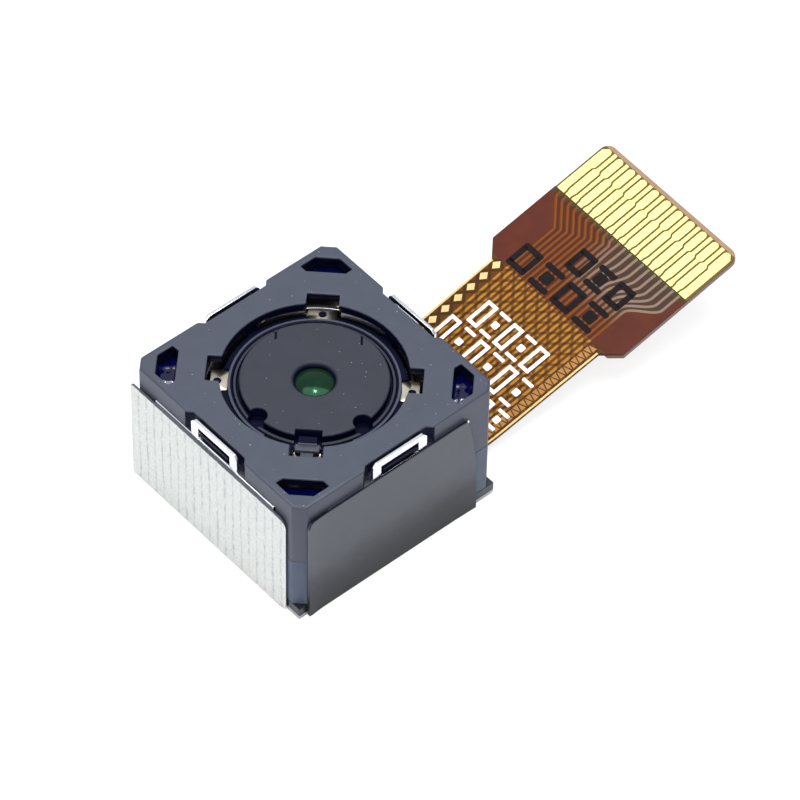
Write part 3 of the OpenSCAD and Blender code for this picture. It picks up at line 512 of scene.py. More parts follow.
@dataclass(frozen=True)
class TailPrint(Finish):
    """What the two copper finishes of the tail share: the shielding lattice and the zones along it.

    The UV map holds the place across and along the tail in millimetres. A lattice of copper lines at 45 degrees
    lies behind the neck. Past stiffener_from the board behind the film is brown: orange brown where the tracks
    run straight and greyer where they swing out.
    """

    lattice_pitch: float = 0.595
    lattice_at: tuple[float, float] = (-2.4, 3.07)
    stiffener_from: float = 6.28
    tracks_half: float = 2.13
    tracks_spread: float = 0.97
    left_spread_from: float = 8.43
    right_spread_from: float = 7.8

    def flat(self, tree: bpy.types.NodeTree) -> tuple[bpy.types.NodeSocket, bpy.types.NodeSocket]:
        """Place across and along the tail, in millimetres."""
        parts = add_node(
            tree, "ShaderNodeSeparateXYZ", {0: add_node(tree, "ShaderNodeTexCoord").outputs["UV"]}
        )
        return parts.outputs[0], parts.outputs[1]

    def opening(
        self, tree: bpy.types.NodeTree, across: bpy.types.NodeSocket, along: bpy.types.NodeSocket
    ) -> bpy.types.NodeSocket:
        """How far a point lies inside an opening of the lattice.

        Args:
            tree: The material's node tree.
            across: Place across the tail.
            along: Place along the tail.

        Returns:
            A value from 0 on a line of the lattice to 1 inside an opening.
        """
        depths = []
        at_x, at_s = self.lattice_at
        for sign in (1.0, -1.0):
            slant = add_node(tree, "ShaderNodeMath", {0: across, 1: sign, 2: along}, operation="MULTIPLY_ADD")
            turn = add_node(
                tree,
                "ShaderNodeMath",
                {
                    0: slant.outputs[0],
                    1: math.pi / self.lattice_pitch,
                    2: -math.pi / self.lattice_pitch * (sign * at_x + at_s),
                },
                operation="MULTIPLY_ADD",
            )
            wave = add_node(tree, "ShaderNodeMath", {0: turn.outputs[0]}, operation="COSINE")
            depths.append(add_node(tree, "ShaderNodeMath", {0: wave.outputs[0]}, operation="ABSOLUTE").outputs[0])
        least = add_node(tree, "ShaderNodeMath", {0: depths[0], 1: depths[1]}, operation="MINIMUM")
        return add_node(
            tree,
            "ShaderNodeMapRange",
            {"Value": least.outputs[0], "From Min": 0.22, "From Max": 0.55},
            interpolation_type="SMOOTHSTEP",
        ).outputs[0]

    def swung_share(
        self, tree: bpy.types.NodeTree, across: bpy.types.NodeSocket, along: bpy.types.NodeSocket
    ) -> bpy.types.NodeSocket:
        """Share of the greyer brown of the side on which the tracks swing out early.

        Args:
            tree: The material's node tree.
            across: Place across the tail.
            along: Place along the tail.

        Returns:
            A value from 0 to 1.
        """
        side = add_node(
            tree,
            "ShaderNodeMapRange",
            {"Value": across, "From Min": -0.9, "From Max": 0.6},
            interpolation_type="SMOOTHSTEP",
        )
        reach = add_node(
            tree,
            "ShaderNodeMapRange",
            {"Value": along, "From Min": 6.9, "From Max": 8.3},
            interpolation_type="SMOOTHSTEP",
        )
        return add_node(
            tree, "ShaderNodeMath", {0: side.outputs[0], 1: reach.outputs[0]}, operation="MULTIPLY"
        ).outputs[0]

    def mixed(
        self, tree: bpy.types.NodeTree, share: bpy.types.NodeSocket, first: object, second: object
    ) -> bpy.types.NodeSocket:
        """Mixes two colours, each given as hex or as a socket."""
        ends = [linear(c) if isinstance(c, str) else c for c in (first, second)]
        mix = add_node(tree, "ShaderNodeMix", {0: share, 6: ends[0], 7: ends[1]}, data_type="RGBA")
        return mix.outputs[2]

    def past(
        self, tree: bpy.types.NodeTree, along: bpy.types.NodeSocket, limit: float
    ) -> bpy.types.NodeSocket:
        """1 past a place along the tail and 0 before it."""
        return add_node(tree, "ShaderNodeMath", {0: along, 1: limit}, operation="GREATER_THAN").outputs[0]

    def gloss(self, tree: bpy.types.NodeTree, colour: bpy.types.NodeSocket) -> bpy.types.NodeSocket:
        """Shader of smooth film in a colour."""
        place = add_node(tree, "ShaderNodeTexCoord").outputs["Object"]
        shader = add_node(
            tree,
            "ShaderNodeBsdfPrincipled",
            {
                "Base Color": colour,
                "Roughness": 0.38,
                "Specular IOR Level": 0.06,
                "Normal": self.grain_bump(tree, place, 0.2, 0.002),
            },
        )
        return shader.outputs[0]


@dataclass(frozen=True)
class TailFilm(TailPrint):
    """Amber polyimide laminate: brown amber over the neck, maroon corners over the stiffener."""

    neck_dark: str = "#3d2200"
    neck_light: str = "#573400"
    orange: str = "#421b02"
    swung: str = "#3a291d"
    corner_dark: str = "#421909"
    corner_light: str = "#562513"
    edge: str = "#39321a"
    bare: str = "#5c4c22"
    edge_from: float = 9.47
    bare_from: float = 9.645

    def surface(self, tree: bpy.types.NodeTree) -> bpy.types.NodeSocket:
        """Builds the film's zones, one after the other along the tail."""
        across, along = self.flat(tree)
        place = add_node(tree, "ShaderNodeTexCoord").outputs["Object"]
        drift = add_node(tree, "ShaderNodeTexNoise", {"Vector": place, "Scale": 1600.0, "Detail": 3.0}).outputs[0]
        through = add_node(
            tree, "ShaderNodeMath", {0: self.opening(tree, across, along), 1: drift}, operation="MULTIPLY"
        )
        bright = add_node(tree, "ShaderNodeMath", {0: through.outputs[0], 1: 1.5}, operation="MULTIPLY")
        neck = self.mixed(tree, bright.outputs[0], self.neck_dark, self.neck_light)
        tracks = self.mixed(tree, self.swung_share(tree, across, along), self.orange, self.swung)
        corner = self.mixed(tree, drift, self.corner_dark, self.corner_light)
        head = self.mixed(tree, self.beyond_tracks(tree, across, along), tracks, corner)
        colour = self.mixed(tree, self.past(tree, along, self.stiffener_from), neck, head)
        teeth = add_node(tree, "ShaderNodeMath", {0: across, 1: 2 * math.pi / 0.3}, operation="MULTIPLY")
        tooth = add_node(tree, "ShaderNodeMath", {0: teeth.outputs[0]}, operation="SINE")
        ragged = add_node(
            tree, "ShaderNodeMath", {0: tooth.outputs[0], 1: 0.09, 2: along}, operation="MULTIPLY_ADD"
        )
        colour = self.mixed(tree, self.past(tree, ragged.outputs[0], self.edge_from), colour, self.edge)
        colour = self.mixed(tree, self.past(tree, along, self.bare_from), colour, self.bare)
        return self.gloss(tree, colour)

    def beyond_tracks(
        self, tree: bpy.types.NodeTree, across: bpy.types.NodeSocket, along: bpy.types.NodeSocket
    ) -> bpy.types.NodeSocket:
        """1 in the plain corners outside the outermost tracks.

        Args:
            tree: The material's node tree.
            across: Place across the tail.
            along: Place along the tail.

        Returns:
            The value socket.
        """
        found = []
        for sign, start, ease in (
            (-1.0, self.left_spread_from, "LINEAR"),
            (1.0, self.right_spread_from, "SMOOTHSTEP"),
        ):
            limit = add_node(
                tree,
                "ShaderNodeMapRange",
                {
                    "Value": along,
                    "From Min": start,
                    "From Max": start + 1.0,
                    "To Min": self.tracks_half,
                    "To Max": self.tracks_half + self.tracks_spread,
                },
                interpolation_type=ease,
            )
            reach = add_node(tree, "ShaderNodeMath", {0: across, 1: sign}, operation="MULTIPLY")
            found.append(
                add_node(
                    tree, "ShaderNodeMath", {0: reach.outputs[0], 1: limit.outputs[0]}, operation="GREATER_THAN"
                ).outputs[0]
            )
        return add_node(tree, "ShaderNodeMath", {0: found[0], 1: found[1]}, operation="MAXIMUM").outputs[0]


@dataclass(frozen=True)
class TraceCopper(TailPrint):
    """Copper track seen through amber film: tan dashes over the neck, where the lattice crosses it, then rosy."""

    neck_dark: str = "#6a4006"
    neck_light: str = "#9c6a20"
    orange: str = "#6a370a"
    swung: str = "#7a6554"

    def surface(self, tree: bpy.types.NodeTree) -> bpy.types.NodeSocket:
        """Builds the track colour."""
        across, along = self.flat(tree)
        neck = self.mixed(tree, self.opening(tree, across, along), self.neck_dark, self.neck_light)
        head = self.mixed(tree, self.swung_share(tree, across, along), self.orange, self.swung)
        return self.gloss(tree, self.mixed(tree, self.past(tree, along, self.stiffener_from), neck, head))


@dataclass(frozen=True)
class GoldPlate(Finish):
    """Soft gold over nickel on copper: pale yellow, satin, with fine plating grain."""

    dark: str = "#dac771"
    light: str = "#e5d483"
    roughness: float = 0.5
    metallic: float = 0.15

    def surface(self, tree: bpy.types.NodeTree) -> bpy.types.NodeSocket:
        """Builds the plating."""
        place = add_node(tree, "ShaderNodeTexCoord").outputs["Object"]
        colour = self.shifted_colour(tree, place, self.dark, self.light, 0.25)
        normal = self.grain_bump(tree, place, 0.04, 0.0008)
        shader = add_node(
            tree,
            "ShaderNodeBsdfPrincipled",
            {"Base Color": colour, "Metallic": self.metallic, "Roughness": self.roughness, "Normal": normal},
        )
        return shader.outputs[0]


@dataclass(frozen=True)
class CoatedGlass(Finish):
    """Optical polymer with a reflection-reducing coating: it looks dark and reflects green."""

    dark: str = "#06140b"
    light: str = "#14301e"
    glow: str = "#447a58"
    roughness: float = 0.12
    specular: float = 0.9

    def surface(self, tree: bpy.types.NodeTree) -> bpy.types.NodeSocket:
        """Builds the coated surface: the body is dark and the reflection is green."""
        place = add_node(tree, "ShaderNodeTexCoord").outputs["Object"]
        colour = self.shifted_colour(tree, place, self.dark, self.light, 0.5)
        shader = add_node(
            tree,
            "ShaderNodeBsdfPrincipled",
            {
                "Base Color": colour,
                "Roughness": self.roughness,
                "Specular IOR Level": self.specular,
                "Specular Tint": linear(self.glow),
            },
        )
        return shader.outputs[0]


@dataclass(frozen=True)
class PlainCoat(Finish):
    """Printed ink, resin, adhesive or dust: one colour that drifts a little, with its own gloss."""

    dark: str = "#d8d8d6"
    light: str = "#ffffff"
    roughness: float = 0.6
    coat: float = 0.0
    patch_mm: float = 0.3
    metallic: float = 0.0
    specular: float = 0.4

    def surface(self, tree: bpy.types.NodeTree) -> bpy.types.NodeSocket:
        """Builds the coat."""
        place = add_node(tree, "ShaderNodeTexCoord").outputs["Object"]
        colour = self.shifted_colour(tree, place, self.dark, self.light, self.patch_mm)
        normal = self.grain_bump(tree, place, 0.06, 0.001)
        shader = add_node(
            tree,
            "ShaderNodeBsdfPrincipled",
            {
                "Base Color": colour,
                "Metallic": self.metallic,
                "Roughness": self.roughness,
                "Specular IOR Level": self.specular,
                "Normal": normal,
                "Coat Weight": self.coat,
                "Coat Roughness": 0.05,
            },
        )
        return shader.outputs[0]


@dataclass(frozen=True)
class WoundWire(Finish):
    """Enamelled copper wire wound in layers: fine rings with a warm gloss."""

    dark: str = "#6d3214"
    light: str = "#c9783c"
    wire_mm: float = 0.05

    def surface(self, tree: bpy.types.NodeTree) -> bpy.types.NodeSocket:
        """Builds the winding as rings along Z."""
        place = add_node(tree, "ShaderNodeTexCoord").outputs["Object"]
        rings = add_node(
            tree, "ShaderNodeTexWave", {"Vector": place, "Scale": 0.314 / (self.wire_mm * MM)}, bands_direction="Z"
        )
        colour = add_node(
            tree,
            "ShaderNodeMix",
            {0: rings.outputs[1], 6: linear(self.dark), 7: linear(self.light)},
            data_type="RGBA",
        )
        bump = add_node(
            tree, "ShaderNodeBump", {"Height": rings.outputs[1], "Distance": 0.01 * MM, "Strength": 0.8}
        )
        shader = add_node(
            tree,
            "ShaderNodeBsdfPrincipled",
            {"Base Color": colour.outputs[2], "Metallic": 0.8, "Roughness": 0.3, "Normal": bump.outputs[0]},
        )
        return shader.outputs[0]


@dataclass(frozen=True)
class SensorDie(Finish):
    """Polished silicon with a pixel array: dark, glossy, with a faint grid."""

    dark: str = "#10161c"
    light: str = "#2e4452"
    cell_mm: float = 0.12

    def surface(self, tree: bpy.types.NodeTree) -> bpy.types.NodeSocket:
        """Builds the die."""
        place = add_node(tree, "ShaderNodeTexCoord").outputs["Object"]
        cells = add_node(
            tree,
            "ShaderNodeTexBrick",
            {
                "Vector": place,
                "Color1": linear(self.dark),
                "Color2": linear(self.light),
                "Mortar": linear(self.dark),
                "Scale": 1 / (self.cell_mm * MM),
                "Mortar Size": 0.04,
            },
            offset=0.0,
        )
        shader = add_node(
            tree,
            "ShaderNodeBsdfPrincipled",
            {"Base Color": cells.outputs[0], "Roughness": 0.12, "Coat Weight": 0.5},
        )
        return shader.outputs[0]


# Mesh helpers


def new_piece(
    name: str, mesh: bpy.types.Mesh, finish: Finish, smooth_deg: float | None = 35.0
) -> bpy.types.Object:
    """Makes an object at the origin with one material.

    Args:
        name: Name of the piece.
        mesh: Finished mesh, in metres.
        finish: Surface finish.
        smooth_deg: Faces that meet at less than this angle are shaded as one. None keeps the mesh's shading.

    Returns:
        The object.
    """
    mesh.name = name
    mesh.materials.clear()
    mesh.materials.append(finish.material())
    mesh.polygons.foreach_set("material_index", [0] * len(mesh.polygons))
    if smooth_deg is not None:
        mesh.polygons.foreach_set("use_smooth", [True] * len(mesh.polygons))
        mesh.set_sharp_from_angle(angle=math.radians(smooth_deg))
    piece = bpy.data.objects.new(name, mesh)
    bpy.context.scene.collection.objects.link(piece)
    return piece


def mesh_from(name: str, points: Sequence[Sequence[float]], faces: Iterable[Sequence[int]]) -> bpy.types.Mesh:
    """Makes a mesh from points in millimetres.

    Args:
        name: Name of the mesh.
        points: Points in millimetres.
        faces: Point numbers of each face.

    Returns:
        The mesh, in metres.
    """
    mesh = bpy.data.meshes.new(name)
    mesh.from_pydata([[c * MM for c in p] for p in points], [], list(faces))
    mesh.validate()
    mesh.update()
    return mesh


def softened_copy(
    node: bpy.types.Object,
    width_mm: float,
    wide_mm: float = 0.0,
    is_wide: Callable[[Vector, Vector], bool] | None = None,
) -> bpy.types.Mesh:
    """Copies a node's mesh, merges it and rounds its sharp edges.

    Args:
        node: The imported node.
        width_mm: Width of the rounding on most edges.
        wide_mm: Width of the rounding on the edges that is_wide picks.
        is_wide: Takes an edge's two ends, in millimetres.

    Returns:
        The new mesh, whose large faces shade flat.
    """
    shell = bmesh.new()
    shell.from_mesh(node.data)
    bmesh.ops.remove_doubles(shell, verts=shell.verts, dist=0.0005 * MM)
    weight = shell.edges.layers.float.new("bevel_weight_edge")
    widest = max(width_mm, wide_mm)
    for edge in shell.edges:
        if len(edge.link_faces) == 2 and edge.calc_face_angle(0.0) > math.radians(SHARP_DEG):
            ends = [vert.co / MM for vert in edge.verts]
            picked = is_wide is not None and is_wide(*ends)
            edge[weight] = 1.0 if picked else width_mm / widest
    mesh = bpy.data.meshes.new(node.name)
    shell.to_mesh(mesh)
    shell.free()
    mesh.polygons.foreach_set("use_smooth", [True] * len(mesh.polygons))
    holder = bpy.data.objects.new("holder", mesh)
    bpy.context.scene.collection.objects.link(holder)
    bevel = holder.modifiers.new("edge", "BEVEL")
    bevel.limit_method = "WEIGHT"
    bevel.width = widest * MM
    bevel.segments = 2
    bevel.use_clamp_overlap = False
    bevel.miter_outer = "MITER_SHARP"
    bevel.miter_inner = "MITER_SHARP"
    bevel.face_strength_mode = "FSTR_ALL"
    flat = holder.modifiers.new("flat", "WEIGHTED_NORMAL")
    flat.weight = 90
    flat.use_face_influence = True
    cut = holder.modifiers.new("cut", "TRIANGULATE")
    cut.ngon_method = "CLIP"
    cut.keep_custom_normals = True
    rounded_mesh = bpy.data.meshes.new_from_object(holder.evaluated_get(bpy.context.evaluated_depsgraph_get()))
    bpy.data.objects.remove(holder)
    flatten_planes(rounded_mesh)
    return rounded_mesh


def flatten_planes(mesh: bpy.types.Mesh) -> None:
    """Makes level faces, and large upright ones square to an axis, shade flat right up to their edges.

    Args:
        mesh: The mesh, in metres.
    """
    corners_now = np.empty(3 * len(mesh.loops), dtype=np.float32)
    mesh.corner_normals.foreach_get("vector", corners_now)
    corners_now = corners_now.reshape(-1, 3)
    for face in mesh.polygons:
        level = abs(face.normal.z) > SQUARE_ON
        upright = max(abs(face.normal.x), abs(face.normal.y)) > SQUARE_ON and face.area > LARGE_FACE
        if level or upright:
            corners_now[list(face.loop_indices)] = face.normal
    mesh.normals_split_custom_set(corners_now.tolist())


def run_tree(
    base: bpy.types.Mesh | bpy.types.Curve, tree: bpy.types.NodeTree, inputs: dict[str, object]
) -> bpy.types.Mesh:
    """Runs a Geometry Nodes tree on a mesh or curve and returns a plain mesh.

    Args:
        base: Geometry that the tree starts from.
        tree: The tree.
        inputs: Values of the tree's named inputs.

    Returns:
        The realised mesh.
    """
    holder = bpy.data.objects.new("holder", base)
    bpy.context.scene.collection.objects.link(holder)
    modifier = holder.modifiers.new("shape", "NODES")
    modifier.node_group = tree
    for item in tree.interface.items_tree:
        if item.item_type == "SOCKET" and item.in_out == "INPUT" and item.name in inputs:
            modifier[item.identifier] = inputs[item.name]
    evaluated = holder.evaluated_get(bpy.context.evaluated_depsgraph_get())
    mesh = bpy.data.meshes.new_from_object(evaluated)
    holder.modifiers.remove(modifier)
    bpy.data.objects.remove(holder)
    return mesh


def new_tree(name: str, sockets: Sequence[tuple[str, str]]) -> tuple[bpy.types.NodeTree, bpy.types.Node]:
    """Starts a Geometry Nodes tree with named inputs and a geometry output.

    Args:
        name: Name of the tree.
        sockets: Name and socket type of each input after the geometry.

    Returns:
        The tree and its input node.
    """
    tree = bpy.data.node_groups.new(name, "GeometryNodeTree")
    tree.interface.new_socket("Geometry", in_out="INPUT", socket_type="NodeSocketGeometry")
    for label, kind in sockets:
        tree.interface.new_socket(label, in_out="INPUT", socket_type=kind)
    tree.interface.new_socket("Geometry", in_out="OUTPUT", socket_type="NodeSocketGeometry")
    return tree, tree.nodes.new("NodeGroupInput")


def finish_tree(tree: bpy.types.NodeTree, geometry: bpy.types.NodeSocket, source: bpy.types.Node) -> None:
    """Ends a tree with Realize Instances and Set Material.

    Args:
        tree: The tree.
        geometry: Socket that holds the result.
        source: The tree's input node, which has a Material input.
    """
    real = add_node(tree, "GeometryNodeRealizeInstances", {"Geometry": geometry})
    dressed = add_node(
        tree, "GeometryNodeSetMaterial", {"Geometry": real.outputs[0], "Material": source.outputs["Material"]}
    )
    add_node(tree, "NodeGroupOutput", {0: dressed.outputs[0]})


def row_tree() -> bpy.types.NodeTree:
    """Tree that repeats a mesh along a straight line."""
    found = bpy.data.node_groups.get("row_of_copies")
    if found:
        return found
    tree, source = new_tree(
        "row_of_copies",
        [
            ("Count", "NodeSocketInt"),
            ("Start", "NodeSocketVector"),
            ("Step", "NodeSocketVector"),
            ("Material", "NodeSocketMaterial"),
        ],
    )
    line = add_node(
        tree,
        "GeometryNodeMeshLine",
        {
            "Count": source.outputs["Count"],
            "Start Location": source.outputs["Start"],
            "Offset": source.outputs["Step"],
        },
    )
    copies = add_node(
        tree,
        "GeometryNodeInstanceOnPoints",
        {"Points": line.outputs[0], "Instance": source.outputs["Geometry"]},
    )
    finish_tree(tree, copies.outputs[0], source)
    return tree


def ribbon_tree() -> bpy.types.NodeTree:
    """Tree that sweeps a round profile along curves."""
    found = bpy.data.node_groups.get("ribbon_along_curve")
    if found:
        return found
    tree, source = new_tree(
        "ribbon_along_curve",
        [("Radius", "NodeSocketFloat"), ("Sides", "NodeSocketInt"), ("Material", "NodeSocketMaterial")],
    )
    profile = add_node(
        tree,
        "GeometryNodeCurvePrimitiveCircle",
        {"Resolution": source.outputs["Sides"], "Radius": source.outputs["Radius"]},
    )
    swept = add_node(
        tree,
        "GeometryNodeCurveToMesh",
        {"Curve": source.outputs["Geometry"], "Profile Curve": profile.outputs[0], "Fill Caps": True},
    )
    finish_tree(tree, swept.outputs[0], source)
    return tree


def dust_tree() -> bpy.types.NodeTree:
    """Tree that scatters small specks over the upward faces of a mesh above a height."""
    found = bpy.data.node_groups.get("dust_on_top")
    if found:
        return found
    tree, source = new_tree(
        "dust_on_top",
        [
            ("Density", "NodeSocketFloat"),
            ("Lowest", "NodeSocketFloat"),
            ("Size", "NodeSocketFloat"),
            ("Seed", "NodeSocketInt"),
            ("Material", "NodeSocketMaterial"),
        ],
    )
    normal = add_node(tree, "ShaderNodeSeparateXYZ", {0: tree.nodes.new("GeometryNodeInputNormal").outputs[0]})
    place = add_node(tree, "ShaderNodeSeparateXYZ", {0: tree.nodes.new("GeometryNodeInputPosition").outputs[0]})
    facing = add_node(tree, "FunctionNodeCompare", {0: normal.outputs[2], 1: 0.97}, operation="GREATER_THAN")
    high = add_node(
        tree, "FunctionNodeCompare", {0: place.outputs[2], 1: source.outputs["Lowest"]}, operation="GREATER_THAN"
    )
    both = add_node(tree, "FunctionNodeBooleanMath", {0: facing.outputs[0], 1: high.outputs[0]}, operation="AND")
    spots = add_node(
        tree,
        "GeometryNodeDistributePointsOnFaces",
        {
            "Mesh": source.outputs["Geometry"],
            "Selection": both.outputs[0],
            "Density": source.outputs["Density"],
            "Seed": source.outputs["Seed"],
        },
    )
    speck = add_node(tree, "GeometryNodeMeshIcoSphere", {"Radius": source.outputs["Size"], "Subdivisions": 1})
    scale = add_node(
        tree,
        "FunctionNodeRandomValue",
        {0: (0.5, 0.4, 0.3), 1: (1.6, 1.1, 0.7), "Seed": source.outputs["Seed"]},
        data_type="FLOAT_VECTOR",
    )
    turn = add_node(
        tree,
        "FunctionNodeRandomValue",
        {0: (0.0, 0.0, 0.0), 1: (0.4, 0.4, 6.28), "Seed": source.outputs["Seed"]},
        data_type="FLOAT_VECTOR",
    )
    copies = add_node(
        tree,
        "GeometryNodeInstanceOnPoints",
        {
            "Points": spots.outputs[0],
            "Instance": speck.outputs[0],
            "Rotation": turn.outputs[0],
            "Scale": scale.outputs[0],
        },
    )
    finish_tree(tree, copies.outputs[0], source)
    return tree


# The tail's surface


@dataclass(frozen=True)
class TailSurface:
    """Shape of the tail: a gentle bend up from the board, then a straight slope with a slow twist.

    Attributes:
        root_y: Where the tail leaves the board.
        root_z: Height of its middle plane there.
        offset_x: Its middle line's place across the head.
        slope_deg: Slope after the bend.
        bend_r: Radius of the bend.
        twist_deg: Twist at the end of the neck.
        neck_len: Length of the neck.
        neck_half: Half of the neck's width.
        end_half: Half of the contact end's width.
        shoulder_from: Where the shoulders start.
        shoulder_to: Where the shoulders end.
        length: Length to the tip.
        tip_r: Radius of the tip's corners.
    """

    root_y: float = 4.25
    root_z: float = 0.3
    offset_x: float = 0.09
    slope_deg: float = 12.8
    bend_r: float = 8.0
    twist_deg: float = -4.0
    neck_len: float = 6.3
    neck_half: float = 2.7
    end_half: float = 3.3
    shoulder_from: float = 6.1
    shoulder_to: float = 6.7
    length: float = 12.14
    tip_r: float = 0.35
    film_half: float = 0.045
    coverlay: float = 0.03
    coverlay_to: float = 9.64

    def place(self, x: float, s: float, n: float = 0.0) -> Point:
        """Puts a flat point on the tail.

        Args:
            x: Place across the tail.
            s: Place along the tail, from the board's edge.
            n: Height over its middle plane.

        Returns:
            The point, in millimetres.
        """
        slope = math.radians(self.slope_deg)
        bend = self.bend_r * slope
        if s <= 0:
            y, z, angle = s, 0.0, 0.0
        elif s < bend:
            angle = s / self.bend_r
            y, z = self.bend_r * math.sin(angle), self.bend_r * (1 - math.cos(angle))
        else:
            angle = slope
            y = self.bend_r * math.sin(slope) + (s - bend) * math.cos(slope)
            z = self.bend_r * (1 - math.cos(slope)) + (s - bend) * math.sin(slope)
        turn = math.radians(self.twist_deg) * min(max(s / self.neck_len, 0.0), 1.0)
        across = x * math.cos(turn) - n * math.sin(turn)
        out = x * math.sin(turn) + n * math.cos(turn)
        return (
            self.offset_x + across,
            self.root_y + y - out * math.sin(angle),
            self.root_z + z + out * math.cos(angle),
        )

    def half(self, s: float) -> float:
        """Half of the tail's width at a place along it."""
        if s <= self.shoulder_from:
            return self.neck_half
        if s < self.shoulder_to:
            share = (s - self.shoulder_from) / (self.shoulder_to - self.shoulder_from)
            return self.neck_half + (self.end_half - self.neck_half) * share
        corner = s - (self.length - self.tip_r)
        if corner <= 0:
            return self.end_half
        return self.end_half - self.tip_r + math.sqrt(max(self.tip_r**2 - corner**2, 0.0))

    def stations(self, start: float, end: float, step: float = 0.25) -> list[float]:
        """Places along the tail at which its cross-sections are drawn.

        Args:
            start: First place.
            end: Last place.
            step: Largest distance between two.

        Returns:
            Rising places, which include each corner of the outline.
        """
        count = max(int(math.ceil((end - start) / step)), 1)
        marks = [start + (end - start) * i / count for i in range(count + 1)]
        marks += [s for s in (self.shoulder_from, self.shoulder_to) if start < s < end]
        if end > self.length - self.tip_r:
            marks += [self.length - self.tip_r + self.tip_r * math.sin(math.pi * i / 16) for i in range(9)]
        return sorted({round(s, 5) for s in marks if start <= s <= end})

    def film(self, name: str, start: float, end: float, low: float, high: float, inset: float = 0.0) -> bpy.types.Mesh:
        """Makes a closed film that follows the tail.

        Args:
            name: Name of the mesh.
            start: Where it starts along the tail.
            end: Where it ends.
            low: Height of its underside over the middle plane.
            high: Height of its top.
            inset: Distance kept from the tail's edges.

        Returns:
            The mesh, with the flat place in its UV map.
        """
        columns = 12
        flat = []
        for s in self.stations(start, end):
            half = self.half(s) - inset
            for level in (low, high):
                for i in range(columns + 1):
                    flat.append((-half + 2 * half * i / columns, s, level))
        rows = len(flat) // (2 * (columns + 1))
        row = 2 * (columns + 1)
        faces = []
        for r in range(rows - 1):
            a, b = r * row, (r + 1) * row
            top_a, top_b = a + columns + 1, b + columns + 1
            for i in range(columns):
                faces.append((a + i, b + i, b + i + 1, a + i + 1))
                faces.append((top_a + i, top_a + i + 1, top_b + i + 1, top_b + i))
            faces.append((a, top_a, top_b, b))
            faces.append((a + columns, b + columns, top_b + columns, top_a + columns))
        last = (rows - 1) * row
        for i in range(columns):
            faces.append((i, i + 1, columns + 2 + i, columns + 1 + i))
            faces.append((last + i + 1, last + i, last + columns + 1 + i, last + columns + 2 + i))
        return self.wrap(name, flat, faces)

    def wrap(self, name: str, flat: Sequence[Point], faces: Iterable[Sequence[int]]) -> bpy.types.Mesh:
        """Lays flat geometry on the tail and keeps its flat place as a UV map.

        Args:
            name: Name of the mesh.
            flat: Points as across, along, height.
            faces: Point numbers of each face.

        Returns:
            The mesh, in metres.
        """
        mesh = bpy.data.meshes.new(name)
        mesh.from_pydata([[c * MM for c in self.place(*p)] for p in flat], [], list(faces))
        layer = mesh.uv_layers.new(name="flat")
        uv = np.array([flat[loop.vertex_index][:2] for loop in mesh.loops], dtype=np.float32)
        layer.data.foreach_set("uv", uv.ravel())
        mesh.update()
        return mesh

    def wrap_mesh(self, name: str, source: bpy.types.Mesh, squash: float = 1.0, lift: float = 0.0) -> bpy.types.Mesh:
        """Lays a flat mesh on the tail.

        Args:
            name: Name of the new mesh.
            source: Mesh whose X, Y and Z are across, along and height, in millimetres.
            squash: Factor on its height.
            lift: Height added after that.

        Returns:
            The mesh, in metres.
        """
        flat = [(v.co.x, v.co.y, v.co.z * squash + lift) for v in source.vertices]
        return self.wrap(name, flat, [tuple(p.vertices) for p in source.polygons])


def slab_mesh(name: str, outline: Outline, low: float, high: float, chamfer: float = 0.0) -> bpy.types.Mesh:
    """Extrudes a flat outline, with a narrow chamfer round its top.

    Args:
        name: Name of the mesh.
        outline: Corners, counter-clockwise.
        low: Height of the underside.
        high: Height of the top.
        chamfer: Width of the chamfer.

    Returns:
        The mesh, in millimetres.
    """
    count = len(outline)
    inner = []
    for i, (x, y) in enumerate(outline):
        before = Vector(outline[i - 1])
        after = Vector(outline[(i + 1) % count])
        here = Vector((x, y))
        first = (here - before).normalized()
        second = (after - here).normalized()
        inward = (Vector((-first.y, first.x)) + Vector((-second.y, second.x))).normalized()
        inner.append(here + inward * chamfer)
    points = [(x, y, low) for x, y in outline]
    points += [(x, y, high - chamfer) for x, y in outline]
    faces: list[Sequence[int]] = [tuple(reversed(range(count)))]
    faces += [(i, (i + 1) % count, count + (i + 1) % count, count + i) for i in range(count)]
    top = count
    if chamfer:
        points += [(p.x, p.y, high) for p in inner]
        top = 2 * count
        faces += [(count + i, count + (i + 1) % count, top + (i + 1) % count, top + i) for i in range(count)]
    faces.append(tuple(top + i for i in range(count)))
    mesh = bpy.data.meshes.new(name)
    mesh.from_pydata(points, [], faces)
    mesh.update()
    return mesh


def rounded(x0: float, y0: float, x1: float, y1: float, radius: float, steps: int = 4) -> Outline:
    """Outline of a rectangle with round corners.

    Args:
        x0: Left.
        y0: Bottom.
        x1: Right.
        y1: Top.
        radius: Corner radius.
        steps: Steps in each corner.

    Returns:
        Points, counter-clockwise.
    """
    points = []
    for cx, cy, start in ((x1 - radius, y1 - radius, 0), (x0 + radius, y1 - radius, 90),
                          (x0 + radius, y0 + radius, 180), (x1 - radius, y0 + radius, 270)):
        for i in range(steps + 1):
            angle = math.radians(start + 90 * i / steps)
            points.append((cx + radius * math.cos(angle), cy + radius * math.sin(angle)))
    return points


# Sub-assemblies


